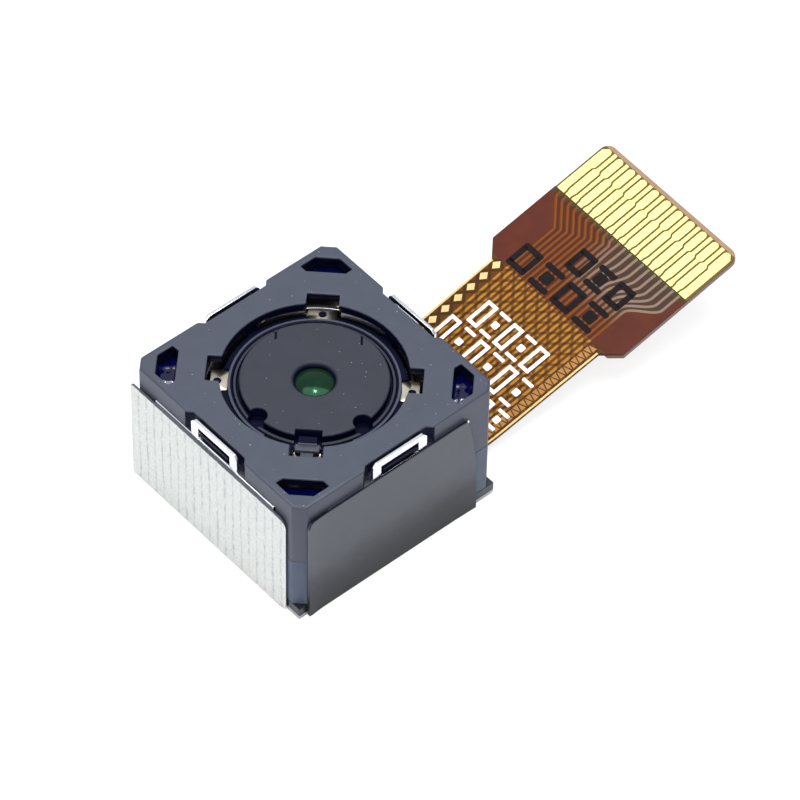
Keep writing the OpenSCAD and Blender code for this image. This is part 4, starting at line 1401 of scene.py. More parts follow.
@dataclass
class SubAssembly:
    """A group of pieces that belong together.

    Attributes:
        nodes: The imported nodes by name.
        pieces: What it has made.
    """

    nodes: dict[str, bpy.types.Object]
    pieces: list[bpy.types.Object] = field(default_factory=list)

    def keep(
        self, piece: bpy.types.Object, body: Body, slot: str, replaced: Sequence[str] = ()
    ) -> bpy.types.Object:
        """Fixes a piece to its body.

        Args:
            piece: The piece.
            body: Body that it moves with.
            slot: Not used.
            replaced: Nodes that it stands for.

        Returns:
            The piece.
        """
        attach(piece, body.value)
        if replaced:
            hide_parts(*replaced)
        self.pieces.append(piece)
        LOG.info("%s rides on %s", piece.name, body.value)
        return piece

    def dress(self, names: Sequence[str], finish: Finish) -> None:
        """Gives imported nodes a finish.

        Args:
            names: Names of the nodes.
            finish: Their finish.
        """
        for name in names:
            for slot in self.nodes[name].material_slots:
                slot.material = finish.material()
            LOG.info("%s is dressed in %s", name, finish.name)

    def soften(
        self,
        name: str,
        finish: Finish,
        body: Body,
        slot: str,
        width_mm: float,
        wide_mm: float = 0.0,
        is_wide: Callable[[Vector, Vector], bool] | None = None,
        source: bpy.types.Object | None = None,
    ) -> bpy.types.Object:
        """Replaces a node by a copy with softly rounded edges.

        Args:
            name: Name of the node.
            finish: Its finish.
            body: Body that it moves with.
            slot: Its material slot.
            width_mm: Width of the rounding.
            wide_mm: Width of the rounding on the edges that is_wide picks.
            is_wide: Takes an edge's two ends, in millimetres.
            source: Object to copy instead of the node.

        Returns:
            The piece.
        """
        mesh = softened_copy(source or self.nodes[name], width_mm, wide_mm, is_wide)
        piece = new_piece(f"{name}_soft", mesh, finish, None)
        return self.keep(piece, body, slot, [name])


# The recess settings paint shade into the hollows of the cover, the carrier and the barrel.
COVER = MouldedPlastic("moulded_cover_plastic", recess=Recess.SQUARE)
BASE = MouldedPlastic("moulded_base_plastic", dark="#3a4352", light="#454e5f", roughness=0.45)
CARRIER = MouldedPlastic(
    "moulded_carrier_plastic",
    roughness=0.38,
    recess=Recess.ROUND,
    recess_reach=3.6,
    recess_top=4.93,
    core_r=2.78,
)
BARREL = MouldedPlastic(
    "moulded_barrel_plastic",
    dark="#26292f",
    light="#2d3037",
    roughness=0.45,
    specular=0.2,
    recess=Recess.ROUND,
    recess_reach=2.6,
    recess_top=5.13,
)
# Painted shade: the spring frame under the cover is a near-black navy copy of the carrier plastic.
FRAME_IN_PAINTED_SHADE = MouldedPlastic("moulded_frame_plastic_in_painted_shade", dark="#0a0b18", light="#10122a", roughness=0.3)
YOKE_STEEL = SheetMetal("plated_yoke_steel", dark="#d3d6db", light="#f3f4f6")
PLATE_STEEL = SheetMetal("rolled_plate_steel", dark="#8d9094", light="#c2c5c8", roughness=0.3)
SPRING_METAL = SheetMetal("plated_spring_metal", dark="#857d6d", light="#d3cbb7", roughness=0.3)
TINNED = SheetMetal("tinned_terminal", dark="#c4c6c8", light="#eceded", roughness=0.35)
MAGNET = SheetMetal("nickel_plated_magnet", dark="#8e8e92", light="#b4b4b8", roughness=0.35)
CLOTH = WovenFoil("silver_plated_cloth")
FILM = SatinFilm("black_polyester_film")
TAIL = TailFilm("amber_polyimide_laminate")
TRACE = TraceCopper("copper_track_under_film")
GOLD = GoldPlate("soft_gold_plate")
GLASS = CoatedGlass("coated_optical_polymer")
# Partly the bare film margin, partly painted glow of light passing through the film.
MARGIN_AND_GLOW = PlainCoat("clear_film_margin_and_glow", dark="#b08a35", light="#d9bc6c", roughness=0.3)
TIP_MARGIN = PlainCoat("backed_film_margin", dark="#7a5f42", light="#987a58", roughness=0.4, specular=0.2)
PALE_OPENING = PlainCoat("pale_lattice_opening", dark="#c39f5c", light="#e4c88a", roughness=0.4, specular=0.2)
TAN_OPENING = PlainCoat("tan_lattice_opening", dark="#8a5a1c", light="#a87636", roughness=0.4, specular=0.15)
STIFFENER = PlainCoat("maroon_stiffener", dark="#4a2418", light="#63321f", roughness=0.35, coat=0.3, patch_mm=0.8)
WHITE_INK = PlainCoat("white_screen_ink", dark="#e4e4ea", light="#ffffff", roughness=0.5)
DARK_INK = PlainCoat("dark_stamp_ink", dark="#060304", light="#1c1312", roughness=0.5, patch_mm=0.15, specular=0.06)
# Partly real adhesive, partly painted shade: near black so that the pockets read as shaded.
ADHESIVE_AND_SHADE = PlainCoat("dark_blue_adhesive_and_shade", dark="#01010a", light="#05073e", roughness=0.05, coat=0.3)
DUST = PlainCoat("pale_dust", dark="#c8ccd2", light="#ffffff", roughness=0.8, patch_mm=0.05)
BOARD = PlainCoat("dark_solder_mask", dark="#12181a", light="#1d2527", roughness=0.35, coat=0.2, patch_mm=0.5)
RESIN = PlainCoat("black_chip_resin", dark="#0e0f10", light="#191a1c", roughness=0.5)
CERAMIC = PlainCoat("capacitor_ceramic", dark="#8a6f50", light="#b3956c", roughness=0.5)
SHIELD = PlainCoat("matt_shield_film", dark="#060607", light="#0c0c0e", roughness=0.85)
COPPER = WoundWire("enamelled_copper_wire")
DIE = SensorDie("polished_silicon_die")
FILTER = CoatedGlass("infrared_filter_glass", dark="#0c2a26", light="#2d6a5c", glow="#c05a6a")
BOND_GOLD = GoldPlate("gold_bond_wire", dark="#d0a648", light="#f0cf7a", roughness=0.25, metallic=1.0)


def merged_mm(node: bpy.types.Object) -> bpy.types.Mesh:
    """Copies a node's mesh, merged, with its points in millimetres."""
    shell = bmesh.new()
    shell.from_mesh(node.data)
    bmesh.ops.remove_doubles(shell, verts=shell.verts, dist=0.0005 * MM)
    for vert in shell.verts:
        vert.co /= MM
    mesh = bpy.data.meshes.new(f"{node.name}_merged")
    shell.to_mesh(mesh)
    shell.free()
    return mesh


def carve(body: bpy.types.Mesh, tool: bpy.types.Mesh, operation: str) -> bpy.types.Mesh:
    """Cuts one closed mesh with another.

    Args:
        body: The mesh to cut, in millimetres.
        tool: The mesh to cut it with, in millimetres.
        operation: "INTERSECT" or "DIFFERENCE".

    Returns:
        What is left of the body, in metres.
    """
    pair = [bpy.data.objects.new(label, mesh) for label, mesh in (("body", body), ("tool", tool))]
    for item in pair:
        bpy.context.scene.collection.objects.link(item)
    cut = pair[0].modifiers.new("cut", "BOOLEAN")
    cut.operation = operation
    cut.solver = "MANIFOLD"
    cut.object = pair[1]
    mesh = bpy.data.meshes.new_from_object(pair[0].evaluated_get(bpy.context.evaluated_depsgraph_get()))
    for item in pair:
        bpy.data.objects.remove(item)
    shell = bmesh.new()
    shell.from_mesh(mesh)
    bmesh.ops.remove_doubles(shell, verts=shell.verts, dist=0.002)
    bmesh.ops.dissolve_degenerate(shell, edges=shell.edges, dist=0.003)
    bmesh.ops.triangulate(shell, faces=shell.faces)
    shell.to_mesh(mesh)
    shell.free()
    mesh.transform(Matrix.Scale(MM, 4))
    return mesh


def cut_plate(flat: bpy.types.Mesh, outline: Outline, inside: bool) -> bpy.types.Mesh:
    """Cuts a thin level plate with an upright prism.

    Args:
        flat: The plate, in millimetres.
        outline: The prism's outline, counter-clockwise.
        inside: True to keep what lies inside it, False for what lies outside.

    Returns:
        What is left of the plate, in metres.
    """
    levels = [vert.co.z for vert in flat.vertices]
    prism = slab_mesh("prism", outline, min(levels) - 0.5, max(levels) + 0.5)
    return carve(flat, prism, "INTERSECT" if inside else "DIFFERENCE")


@dataclass
class Head(SubAssembly):
    """The moulded head: cover, base, yoke and what lies under them.

    Attributes:
        cover_edge: Rounding of the cover's edges.
        base_edge: Rounding of the base's edges.
        yoke_edge: Rounding of the sheet's edges.
    """

    cover_edge: float = 0.03
    cover_rim: float = 0.09
    base_edge: float = 0.03
    yoke_edge: float = 0.02
    window_half: float = 0.8
    window_bottom: float = 4.7
    window_top: float = 5.18
    half: float = 4.25
    corner_cut: float = 0.35
    top: float = 5.4
    pocket_out: float = 3.98
    pocket_len: float = 1.23
    pocket_end: float = 0.3
    pocket_cut: float = 0.58
    glue_bottom: float = 4.77
    glue_rim: float = 4.9

    def build(self) -> None:
        """Builds and dresses the head."""
        cover = self.soften(
            "top_cover", COVER, Body.MODULE, "cover_plastic", self.cover_edge, self.cover_rim, self.is_rim
        )
        self.soften("base_housing", BASE, Body.MODULE, "cover_plastic", self.base_edge, 0.06, self.is_rim)
        yoke = self.wide_windows()
        self.soften("yoke", YOKE_STEEL, Body.MODULE, "yoke_steel", self.yoke_edge, source=yoke)
        bpy.data.objects.remove(yoke)
        self.soften("circuit_board", BOARD, Body.MODULE, "board_mask", 0.015)
        self.soften("stiffener_plate", PLATE_STEEL, Body.MODULE, "plate_steel", 0.02)
        self.soften("spring_frame", FRAME_IN_PAINTED_SHADE, Body.MODULE, "carrier_plastic", 0.015)
        self.dress(["magnet_front", "magnet_back", "magnet_left", "magnet_right"], MAGNET)
        self.dress(["coil_terminals", "solder_joints"], TINNED)
        self.dress(["image_sensor"], DIE)
        self.dress(["bond_wires"], BOND_GOLD)
        self.dress(["capacitors"], CERAMIC)
        self.dress(["driver_chip"], RESIN)
        self.dress(["ir_filter"], FILTER)
        self.add_adhesive_and_shade()
        self.add_dust(cover)

    def wide_windows(self) -> bpy.types.Object:
        """Copies the yoke with wider windows in its snap loops, whose bars are thin in the photograph.

        Returns:
            The copy.
        """
        reach = self.nodes["yoke"].bound_box[6][0] / MM
        boxes = bmesh.new()
        for quarter in range(4):
            turn = Matrix.Rotation(quarter * math.pi / 2, 4, "Z")
            size = Matrix.Diagonal((0.5, 2 * self.window_half, self.window_top - self.window_bottom, 1.0))
            middle = Matrix.Translation((reach, 0.0, (self.window_top + self.window_bottom) / 2))
            bmesh.ops.create_cube(boxes, size=1.0, matrix=turn @ middle @ size)
        tool = bpy.data.meshes.new("windows")
        boxes.to_mesh(tool)
        boxes.free()
        mesh = carve(merged_mm(self.nodes["yoke"]), tool, "DIFFERENCE")
        return bpy.data.objects.new("yoke_windows", mesh)

    def is_rim(self, first: Vector, second: Vector) -> bool:
        """Picks the outer edges of the moulding: round its top, and down its corners.

        Args:
            first: One end of an edge, in millimetres.
            second: Its other end.

        Returns:
            True for such an edge.
        """
        middle = (first + second) / 2
        side = max(abs(middle.x), abs(middle.y)) > self.half - 0.01
        corner = abs(middle.x) + abs(middle.y) > 2 * self.half - self.corner_cut - 0.02
        level = min(first.z, second.z) > self.top - 0.01
        upright = abs(first.x - second.x) + abs(first.y - second.y) < 0.01
        return (side or corner) and (level or upright)

    def add_adhesive_and_shade(self) -> None:
        """Fills the bottom of each corner pocket with glossy near-black adhesive that drowns the staked post: partly
        real adhesive, partly painted shade in the pockets.
        """
        reach, near = self.pocket_out + 0.05, self.pocket_out - self.pocket_len - 0.05
        cut, end = reach - self.pocket_cut, self.pocket_out - self.pocket_end - 0.05
        corner = [(near, reach), (cut, reach), (reach, cut), (reach, near), (end, near), (near, end)]
        outline = []
        for i, (x, y) in enumerate(corner):
            nx, ny = corner[(i + 1) % len(corner)]
            outline += [(x + (nx - x) * k / 8, y + (ny - y) * k / 8) for k in range(8)]
        middle_x = sum(p[0] for p in outline) / len(outline)
        middle_y = sum(p[1] for p in outline) / len(outline)
        rings = 12
        points: list[Point] = []
        faces: list[Sequence[int]] = []
        rng = random.Random(5)
        for sx in (-1, 1):
            for sy in (-1, 1):
                phase = [rng.uniform(0, 6.28) for _ in range(4)]
                start = len(points)
                points.append((sx * middle_x, sy * middle_y, self.glue_bottom))
                for ring in range(rings + 1):
                    share = 1 - ring / rings if ring else 1.0
                    for x, y in outline:
                        fx, fy = middle_x + (x - middle_x) * share, middle_y + (y - middle_y) * share
                        swell = 0.05 * (1 - share**2)
                        ripple = 0.022 * math.sin(6.5 * fx + phase[0]) * math.sin(7.5 * fy + phase[1])
                        ripple += 0.010 * math.sin(15 * fx + phase[2]) * math.sin(13 * fy + phase[3])
                        height = self.glue_bottom if ring == 0 else self.glue_rim + swell + ripple
                        if ring == rings:
                            continue
                        points.append((sx * fx, sy * fy, height))
                points.append((sx * middle_x, sy * middle_y, self.glue_rim + 0.05))
                count = len(outline)
                last = len(points) - 1
                for k in range(count):
                    nxt = (k + 1) % count
                    faces.append((start, start + 1 + nxt, start + 1 + k))
                    for ring in range(rings - 1):
                        a, b = start + 1 + ring * count, start + 1 + (ring + 1) * count
                        faces.append((a + k, a + nxt, b + nxt, b + k))
                    top = start + 1 + (rings - 1) * count
                    faces.append((top + k, top + nxt, last))
        mesh = outward(mesh_from("pocket_adhesive_and_shade", points, faces))
        self.keep(new_piece("pocket_adhesive_and_shade", mesh, ADHESIVE_AND_SHADE, 60), Body.MODULE, "carrier_plastic")

    def add_dust(self, cover: bpy.types.Object) -> None:
        """Scatters pale dust over the top of the cover.

        Args:
            cover: The cover's piece.
        """
        top = cover.data.vertices[0].co.z
        for vert in cover.data.vertices:
            top = max(top, vert.co.z)
        inputs = {
            "Density": 1.15e6,
            "Lowest": top - 0.01 * MM,
            "Size": 0.011 * MM,
            "Seed": 11,
            "Material": DUST.material(),
        }
        mesh = run_tree(cover.data.copy(), dust_tree(), inputs)
        self.keep(new_piece("dust_on_cover", mesh, DUST), Body.MODULE, "cover_plastic")


@dataclass
class FocusGroup(SubAssembly):
    """What moves when the lens focuses: carrier, coil, barrel and lens stack."""

    carrier_edge: float = 0.018
    barrel_edge: float = 0.02
    face_z: float = 5.16
    collar_step_z: float = 4.86
    collar_reach: tuple[float, float] = (2.6, 2.99)
    key_deg: float = -45.0
    step_deg: tuple[float, float] = (9.0, 31.0)
    slit_depth: float = 0.06
    slit_deg: float = 138.34
    slit_size: tuple[float, float] = (0.66, 0.06)
    lens_r: float = 0.93
    lens_sag: float = 0.2
    lens_top: float = 4.85

    def build(self) -> None:
        """Builds and dresses the focus group."""
        carrier, turned = self.stepped_carrier(), self.turned_slits()
        self.soften("lens_carrier", CARRIER, Body.FOCUS, "carrier_plastic", self.carrier_edge, source=carrier)
        barrel = self.soften("lens_barrel", BARREL, Body.FOCUS, "barrel_plastic", self.barrel_edge, source=turned)
        bpy.data.objects.remove(carrier)
        bpy.data.objects.remove(turned)
        self.dress(["coil"], COPPER)
        self.dress(["lens_1", "lens_2", "lens_3", "lens_4"], GLASS)
        self.dress(["light_shield_1", "light_shield_2"], SHIELD)
        self.dress(["spacer_ring", "lens_retainer"], BARREL)
        self.add_front_lens()
        self.add_dust(barrel)

    def stepped_carrier(self) -> bpy.types.Object:
        """Copies the carrier with its collar stepped down on both sides of the key.

        Returns:
            The copy.
        """
        body = merged_mm(self.nodes["lens_carrier"])
        near, far = self.step_deg
        for first, last in ((near, far), (-far, -near)):
            sector = SpringArm(self.key_deg, 1, 0, 0, 0, 0, 0).sector(*self.collar_reach, first, last)
            tool = slab_mesh("step", sector, self.collar_step_z, self.collar_step_z + 0.5)
            body = carve(body, tool, "DIFFERENCE")
            body.transform(Matrix.Scale(1 / MM, 4))
        body.transform(Matrix.Scale(MM, 4))
        return bpy.data.objects.new("carrier_stepped", body)

    def turned_slits(self) -> bpy.types.Object:
        """Copies the barrel with its two slits turned as the photograph shows them, side by side.

        Returns:
            The copy.
        """
        body = merged_mm(self.nodes["lens_barrel"])
        top = self.face_z
        for vert in body.vertices:
            if abs(vert.co.z - (top - self.slit_depth)) < 0.005 and vert.co.xy.length > 2.0:
                vert.co.z = top
        length, width = self.slit_size
        new = [(2.444, 171.31, self.slit_deg, length, width), (2.41, 99.23, self.slit_deg, length, width)]
        body = carve(body, boxes_mesh(new, top - 0.12, top + 0.1), "DIFFERENCE")
        return bpy.data.objects.new("barrel_turned", body)

    def add_front_lens(self) -> None:
        """Replaces the first lens by a finely turned one."""
        low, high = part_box("lens_1")
        edge_r = high.x / MM
        top, bottom = self.lens_top, low.z / MM
        steps, turns = 12, 64
        profile = [(0.0, top + self.lens_sag)]
        for i in range(1, steps + 1):
            r = self.lens_r * i / steps
            profile.append((r, top + self.lens_sag * (1 - (r / self.lens_r) ** 2)))
        profile += [(edge_r, top), (edge_r, bottom), (0.75, bottom), (0.4, bottom - 0.06), (0.0, bottom - 0.08)]
        self.keep(
            new_piece("front_lens", turned_mesh("front_lens", profile, turns), GLASS, 40),
            Body.FOCUS,
            "lens_plastic",
            ["lens_1"],
        )

    def add_dust(self, barrel: bpy.types.Object) -> None:
        """Scatters pale dust over the barrel's face.

        Args:
            barrel: The barrel's piece.
        """
        low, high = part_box("lens_barrel")
        inputs = {
            "Density": 1.3e6,
            "Lowest": high.z - 0.01 * MM,
            "Size": 0.010 * MM,
            "Seed": 4,
            "Material": DUST.material(),
        }
        mesh = run_tree(barrel.data.copy(), dust_tree(), inputs)
        self.keep(new_piece("dust_on_barrel", mesh, DUST), Body.FOCUS, "barrel_plastic")


def boxes_mesh(
    places: Sequence[tuple[float, float, float, float, float]], low: float, high: float
) -> bpy.types.Mesh:
    """Makes upright boxes.

    Args:
        places: Radius and angle of each box's middle, the angle of its length, its length and its width.
        low: Height of their undersides.
        high: Height of their tops.

    Returns:
        The mesh, in millimetres.
    """
    shell = bmesh.new()
    for radius, angle, turn, length, width in places:
        around = Matrix.Rotation(math.radians(angle), 4, "Z")
        middle = around @ Matrix.Translation((radius, 0.0, (low + high) / 2))
        own = Matrix.Rotation(math.radians(turn - angle), 4, "Z")
        size = Matrix.Diagonal((length, width, high - low, 1.0))
        bmesh.ops.create_cube(shell, size=1.0, matrix=middle @ own @ size)
    mesh = bpy.data.meshes.new("boxes")
    shell.to_mesh(mesh)
    shell.free()
    return mesh


def turned_mesh(name: str, profile: Sequence[tuple[float, float]], turns: int) -> bpy.types.Mesh:
    """Turns a profile round the Z axis.

    Args:
        name: Name of the mesh.
        profile: Radius and height of each point, from the axis on top to the axis below.
        turns: Steps round the axis.

    Returns:
        The closed mesh, in metres.
    """
    points: list[Point] = [(0.0, 0.0, profile[0][1])]
    for r, z in profile[1:-1]:
        for k in range(turns):
            angle = 2 * math.pi * k / turns
            points.append((r * math.cos(angle), r * math.sin(angle), z))
    points.append((0.0, 0.0, profile[-1][1]))
    last = len(points) - 1
    rings = len(profile) - 2
    faces: list[Sequence[int]] = []
    for k in range(turns):
        nxt = (k + 1) % turns
        faces.append((0, 1 + k, 1 + nxt))
        for ring in range(rings - 1):
            a, b = 1 + ring * turns, 1 + (ring + 1) * turns
            faces.append((a + k, b + k, b + nxt, a + nxt))
        final = 1 + (rings - 1) * turns
        faces.append((final + nxt, final + k, last))
    return mesh_from(name, points, faces)


@dataclass(frozen=True)
class SpringArm:
    """One folded arm of a leaf spring: along an inner arc, round a turn, and back along an outer arc.

    Attributes:
        zero_deg: Direction from which its angles are counted.
        sign: 1 if they are counted counter-clockwise, -1 if clockwise.
        start_deg: Where the inner arc leaves the ring or tab.
        turn_deg: Where the turn is.
        end_deg: Where the outer arc meets the frame.
        inner_r: Radius of the inner arc.
        outer_r: Radius of the outer arc.
    """

    zero_deg: float
    sign: int
    start_deg: float
    turn_deg: float
    end_deg: float
    inner_r: float
    outer_r: float

    def point(self, radius: float, angle: float) -> tuple[float, float]:
        """Flat place of a radius and an angle of this arm."""
        turn = math.radians(self.zero_deg + self.sign * angle)
        return radius * math.cos(turn), radius * math.sin(turn)

    def sector(self, r_from: float, r_to: float, a_from: float, a_to: float) -> Outline:
        """Outline of the part of a ring between two angles of this arm."""
        steps = 16
        angles = [a_from + (a_to - a_from) * i / steps for i in range(steps + 1)]
        outline = [self.point(r_to, a) for a in angles] + [self.point(r_from, a) for a in reversed(angles)]
        return outline if self.sign > 0 else outline[::-1]


@dataclass
class LeafSprings(SubAssembly):
    """The upper and lower leaf springs, parted into a ring, a frame and the two arcs of each arm.

    The ring moves with the carrier and the frame stays. The two arcs of each arm are parted from each other and fixed
    to neither body.

    Attributes:
        upper_ring_r: Edge of the upper spring's ring.
        upper_tab_r: Reach of its tabs.
        upper_tab_deg: Half of the angle that a tab takes.
        upper_frame_r: Where its frame starts.
        lower_ring_r: Edge of the lower springs' ring.
        lower_frame_r: Where their pads start.
    """

    upper_ring_r: float = 3.14
    upper_tab_r: float = 3.47
    upper_tab_deg: float = 8.85
    upper_frame_r: float = 3.64
    lower_ring_r: float = 3.3
    lower_frame_r: float = 3.63

    def build(self) -> None:
        """Builds the springs."""
        steps = 360
        inner: Outline = []
        for i in range(steps):
            angle = 360 * i / steps
            from_diagonal = abs((angle - 45 + 45) % 90 - 45)
            radius = self.upper_tab_r if from_diagonal < self.upper_tab_deg else self.upper_ring_r
            inner.append((radius * math.cos(math.radians(angle)), radius * math.sin(math.radians(angle))))
        arms = [SpringArm(a, 1, self.upper_tab_deg, 36, 10, 3.25, 3.45) for a in (45, 135, 225, 315)]
        self.part("upper_spring", inner, self.upper_ring_r, self.upper_frame_r, arms)
        ring = [
            (self.lower_ring_r * math.cos(math.pi * i / 90), self.lower_ring_r * math.sin(math.pi * i / 90))
            for i in range(180)
        ]
        for name, middle in (("lower_spring_front", 270), ("lower_spring_back", 90)):
            arms = [
                SpringArm(middle - 90, 1, 14, 76, 45, 3.36, 3.51),
                SpringArm(middle + 90, -1, 14, 76, 45, 3.36, 3.51),
            ]
            self.part(name, ring, self.lower_ring_r, self.lower_frame_r, arms)

    def part(
        self, name: str, inner: Outline, ring_r: float, frame_r: float, arms: Sequence[SpringArm]
    ) -> None:
        """Parts a spring into its ring, its frame and the two arcs of each arm.

        Args:
            name: Name of the node.
            inner: Outline of what moves with the carrier.
            ring_r: Radius at which the arms start.
            frame_r: Radius at which the frame starts.
            arms: Its arms.
        """
        flat = merged_mm(self.nodes[name])
        ring = new_piece(f"{name}_ring", cut_plate(flat, inner, True), SPRING_METAL)
        self.keep(ring, Body.FOCUS, "spring_metal")
        disc = [(frame_r * math.cos(math.pi * i / 90), frame_r * math.sin(math.pi * i / 90)) for i in range(180)]
        frame = new_piece(f"{name}_frame", cut_plate(flat, disc, False), SPRING_METAL)
        self.keep(frame, Body.MODULE, "spring_metal", [name])
        for number, arm in enumerate(arms, start=1):
            split = (arm.inner_r + arm.outer_r) / 2
            first = self.upper_tab_deg if name == "upper_spring" else arm.start_deg - 4
            turn_z = flat.vertices[0].co.z * MM
            ends = [
                (*arm.point(arm.inner_r, arm.start_deg), 0.0),
                (*arm.point(arm.inner_r, arm.turn_deg), 0.0),
                (*arm.point(arm.outer_r, arm.turn_deg), 0.0),
                (*arm.point(arm.outer_r, arm.end_deg), 0.0),
            ]
            start, half_in, half_out, end = [Vector(p) * MM + Vector((0, 0, turn_z)) for p in ends]
            for label, low, high, from_deg, a, b in (
                ("inner", ring_r, split, first, start, start + 2 * (half_in - start)),
                ("outer", split, frame_r, min(first, arm.end_deg), end + 2 * (half_out - end), end),
            ):
                outline = arm.sector(low, high, from_deg, arm.turn_deg + 6)
                mesh = cut_plate(flat, outline, True)
                piece = new_piece(f"{name}_arm_{number}_{label}", mesh, SPRING_METAL)
                self.bend(piece, "spring_metal", a, b)

    def bend(self, piece: bpy.types.Object, slot: str, start: Vector, end: Vector) -> None:
        """Bakes a piece's place into its mesh and adds it to the pieces, fixed to neither body.

        Args:
            piece: The piece.
            slot: Not used.
            start: A point on the ring's side of the arc, in metres.
            end: A point on the frame's side of it.
        """
        tuple(start)
        tuple(end)
        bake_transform(piece)
        self.pieces.append(piece)
        LOG.info("%s bends between %s and %s", piece.name, Body.FOCUS.value, Body.MODULE.value)


def outward(mesh: bpy.types.Mesh) -> bpy.types.Mesh:
    """Turns a closed mesh's faces outwards and returns it."""
    shell = bmesh.new()
    shell.from_mesh(mesh)
    bmesh.ops.recalc_face_normals(shell, faces=shell.faces)
    shell.to_mesh(mesh)
    shell.free()
    return mesh


@dataclass
class Wraps(SubAssembly):
    """The ribbed silver tape and the thin black film on the head's sides.

    Attributes:
        rib_pitch: Pitch of the tape's ribs.
        rib_depth: Depth of the grooves between them.
        corner_r: Radius of the tape's free corner.
    """

    tape_lift: float = 0.13
    film_lift: float = 0.12
    rib_pitch: float = 0.405
    rib_depth: float = 0.012
    corner_r: float = 0.35

    def build(self) -> None:
        """Builds both wraps."""
        self.add_tape()
        self.add_film()

    def add_tape(self) -> None:
        """Builds the silver tape: soft vertical ribs, a round free corner and an edge that curls in."""
        low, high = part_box("silver_tape")
        left, right, bottom, top = (v / MM for v in (low.x, high.x, low.z, high.z))
        back, front = high.y / MM, low.y / MM
        rng = random.Random(3)
        phase = [rng.uniform(0, 6.28) for _ in range(40)]

        def height(x: float) -> tuple[float, float]:
            """Lowest and highest point of the tape at a place across it."""
            taper = max(x - (right - 0.6), 0.0) / 0.6
            drop = 0.0
            for reach in (x - (right - self.corner_r), (left + 0.15 - x) * self.corner_r / 0.15):
                if reach > 0:
                    drop = self.corner_r - math.sqrt(max(self.corner_r**2 - reach**2, 0.0))
                    drop *= 1.0 if x > 0 else 0.4
            ragged = 0.012 * math.sin(9 * x) + 0.008 * math.sin(31 * x + 1)
            return bottom + 0.02 * (1 - taper) + ragged * 0.5, top + self.tape_lift - drop + ragged * 0.3

        def depth(x: float, z: float) -> float:
            """How far the tape's face lies out at a point."""
            rib = (x - left) / self.rib_pitch
            wobble = 0.05 * math.sin(1.7 * z + phase[int(rib) % 40])
            wave = abs(math.cos(math.pi * (rib + wobble)))
            curl = max(x - (right - 0.25), 0.0) / 0.25
            return front + self.rib_depth * wave**24 + 0.07 * curl**2

        def flat(x: float, z: float) -> tuple[float, float]:
            """Ribs across the tape and millimetres below its top edge at a point."""
            rib = (x - left) / self.rib_pitch
            return rib + 0.05 * math.sin(1.7 * z + phase[int(rib) % 40]), height(x)[1] - z

        columns = [left + (right - left) * i / 240 for i in range(241)]
        mesh = sheet_mesh("tape", columns, height, depth, back, 40, 1, flat)
        self.keep(
            new_piece("silver_tape_ribbed", mesh, CLOTH, 50), Body.MODULE, "silver_cloth", ["silver_tape"]
        )

    def add_film(self) -> None:
        """Builds the black film: smooth, with round top corners and edges that lift a little."""
        low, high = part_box("black_film")
        near, far, bottom, top = (v / MM for v in (low.y, high.y, low.z, high.z))
        back, front = low.x / MM, high.x / MM
        top += self.film_lift
        slant = 0.44
        round_r = 0.25
        dip = 0.02

        def height(y: float) -> tuple[float, float]:
            """Lowest and highest point of the film at a place along it."""
            shoulder = far - slant
            edge = top - dip * (shoulder - y) / (shoulder - near)
            low_z = bottom + 0.05 * max(0.12 - (y - near), 0.0) / 0.12
            if y > shoulder:
                share = (y - shoulder) / slant
                return low_z, bottom + (top - bottom - 0.4) * max(1 - share, 0.0) ** 0.4 + 0.35
            reach = near + round_r - y
            drop = round_r - math.sqrt(max(round_r**2 - reach**2, 0.0)) if reach > 0 else 0.0
            return low_z, edge - drop

        def depth(y: float, z: float) -> float:
            """How far the film's face lies out at a point."""
            across = (y - near) / (far - near)
            up = (z - bottom) / (top - bottom)
            belly = 0.02 * math.sin(math.pi * across) * math.sin(math.pi * up)
            lift = 0.022 * max(across - 0.88, 0.0) / 0.12 + 0.05 * (max(0.09 - across, 0.0) / 0.09) ** 1.5
            return front + belly + lift

        columns = [near + (far - near) * i / 90 for i in range(91)]
        mesh = sheet_mesh("film", columns, height, depth, back, 50, 0, lambda y, z: (y, height(y)[1] - z))
        self.keep(new_piece("black_film_lifted", mesh, FILM, 50), Body.MODULE, "black_film", ["black_film"])


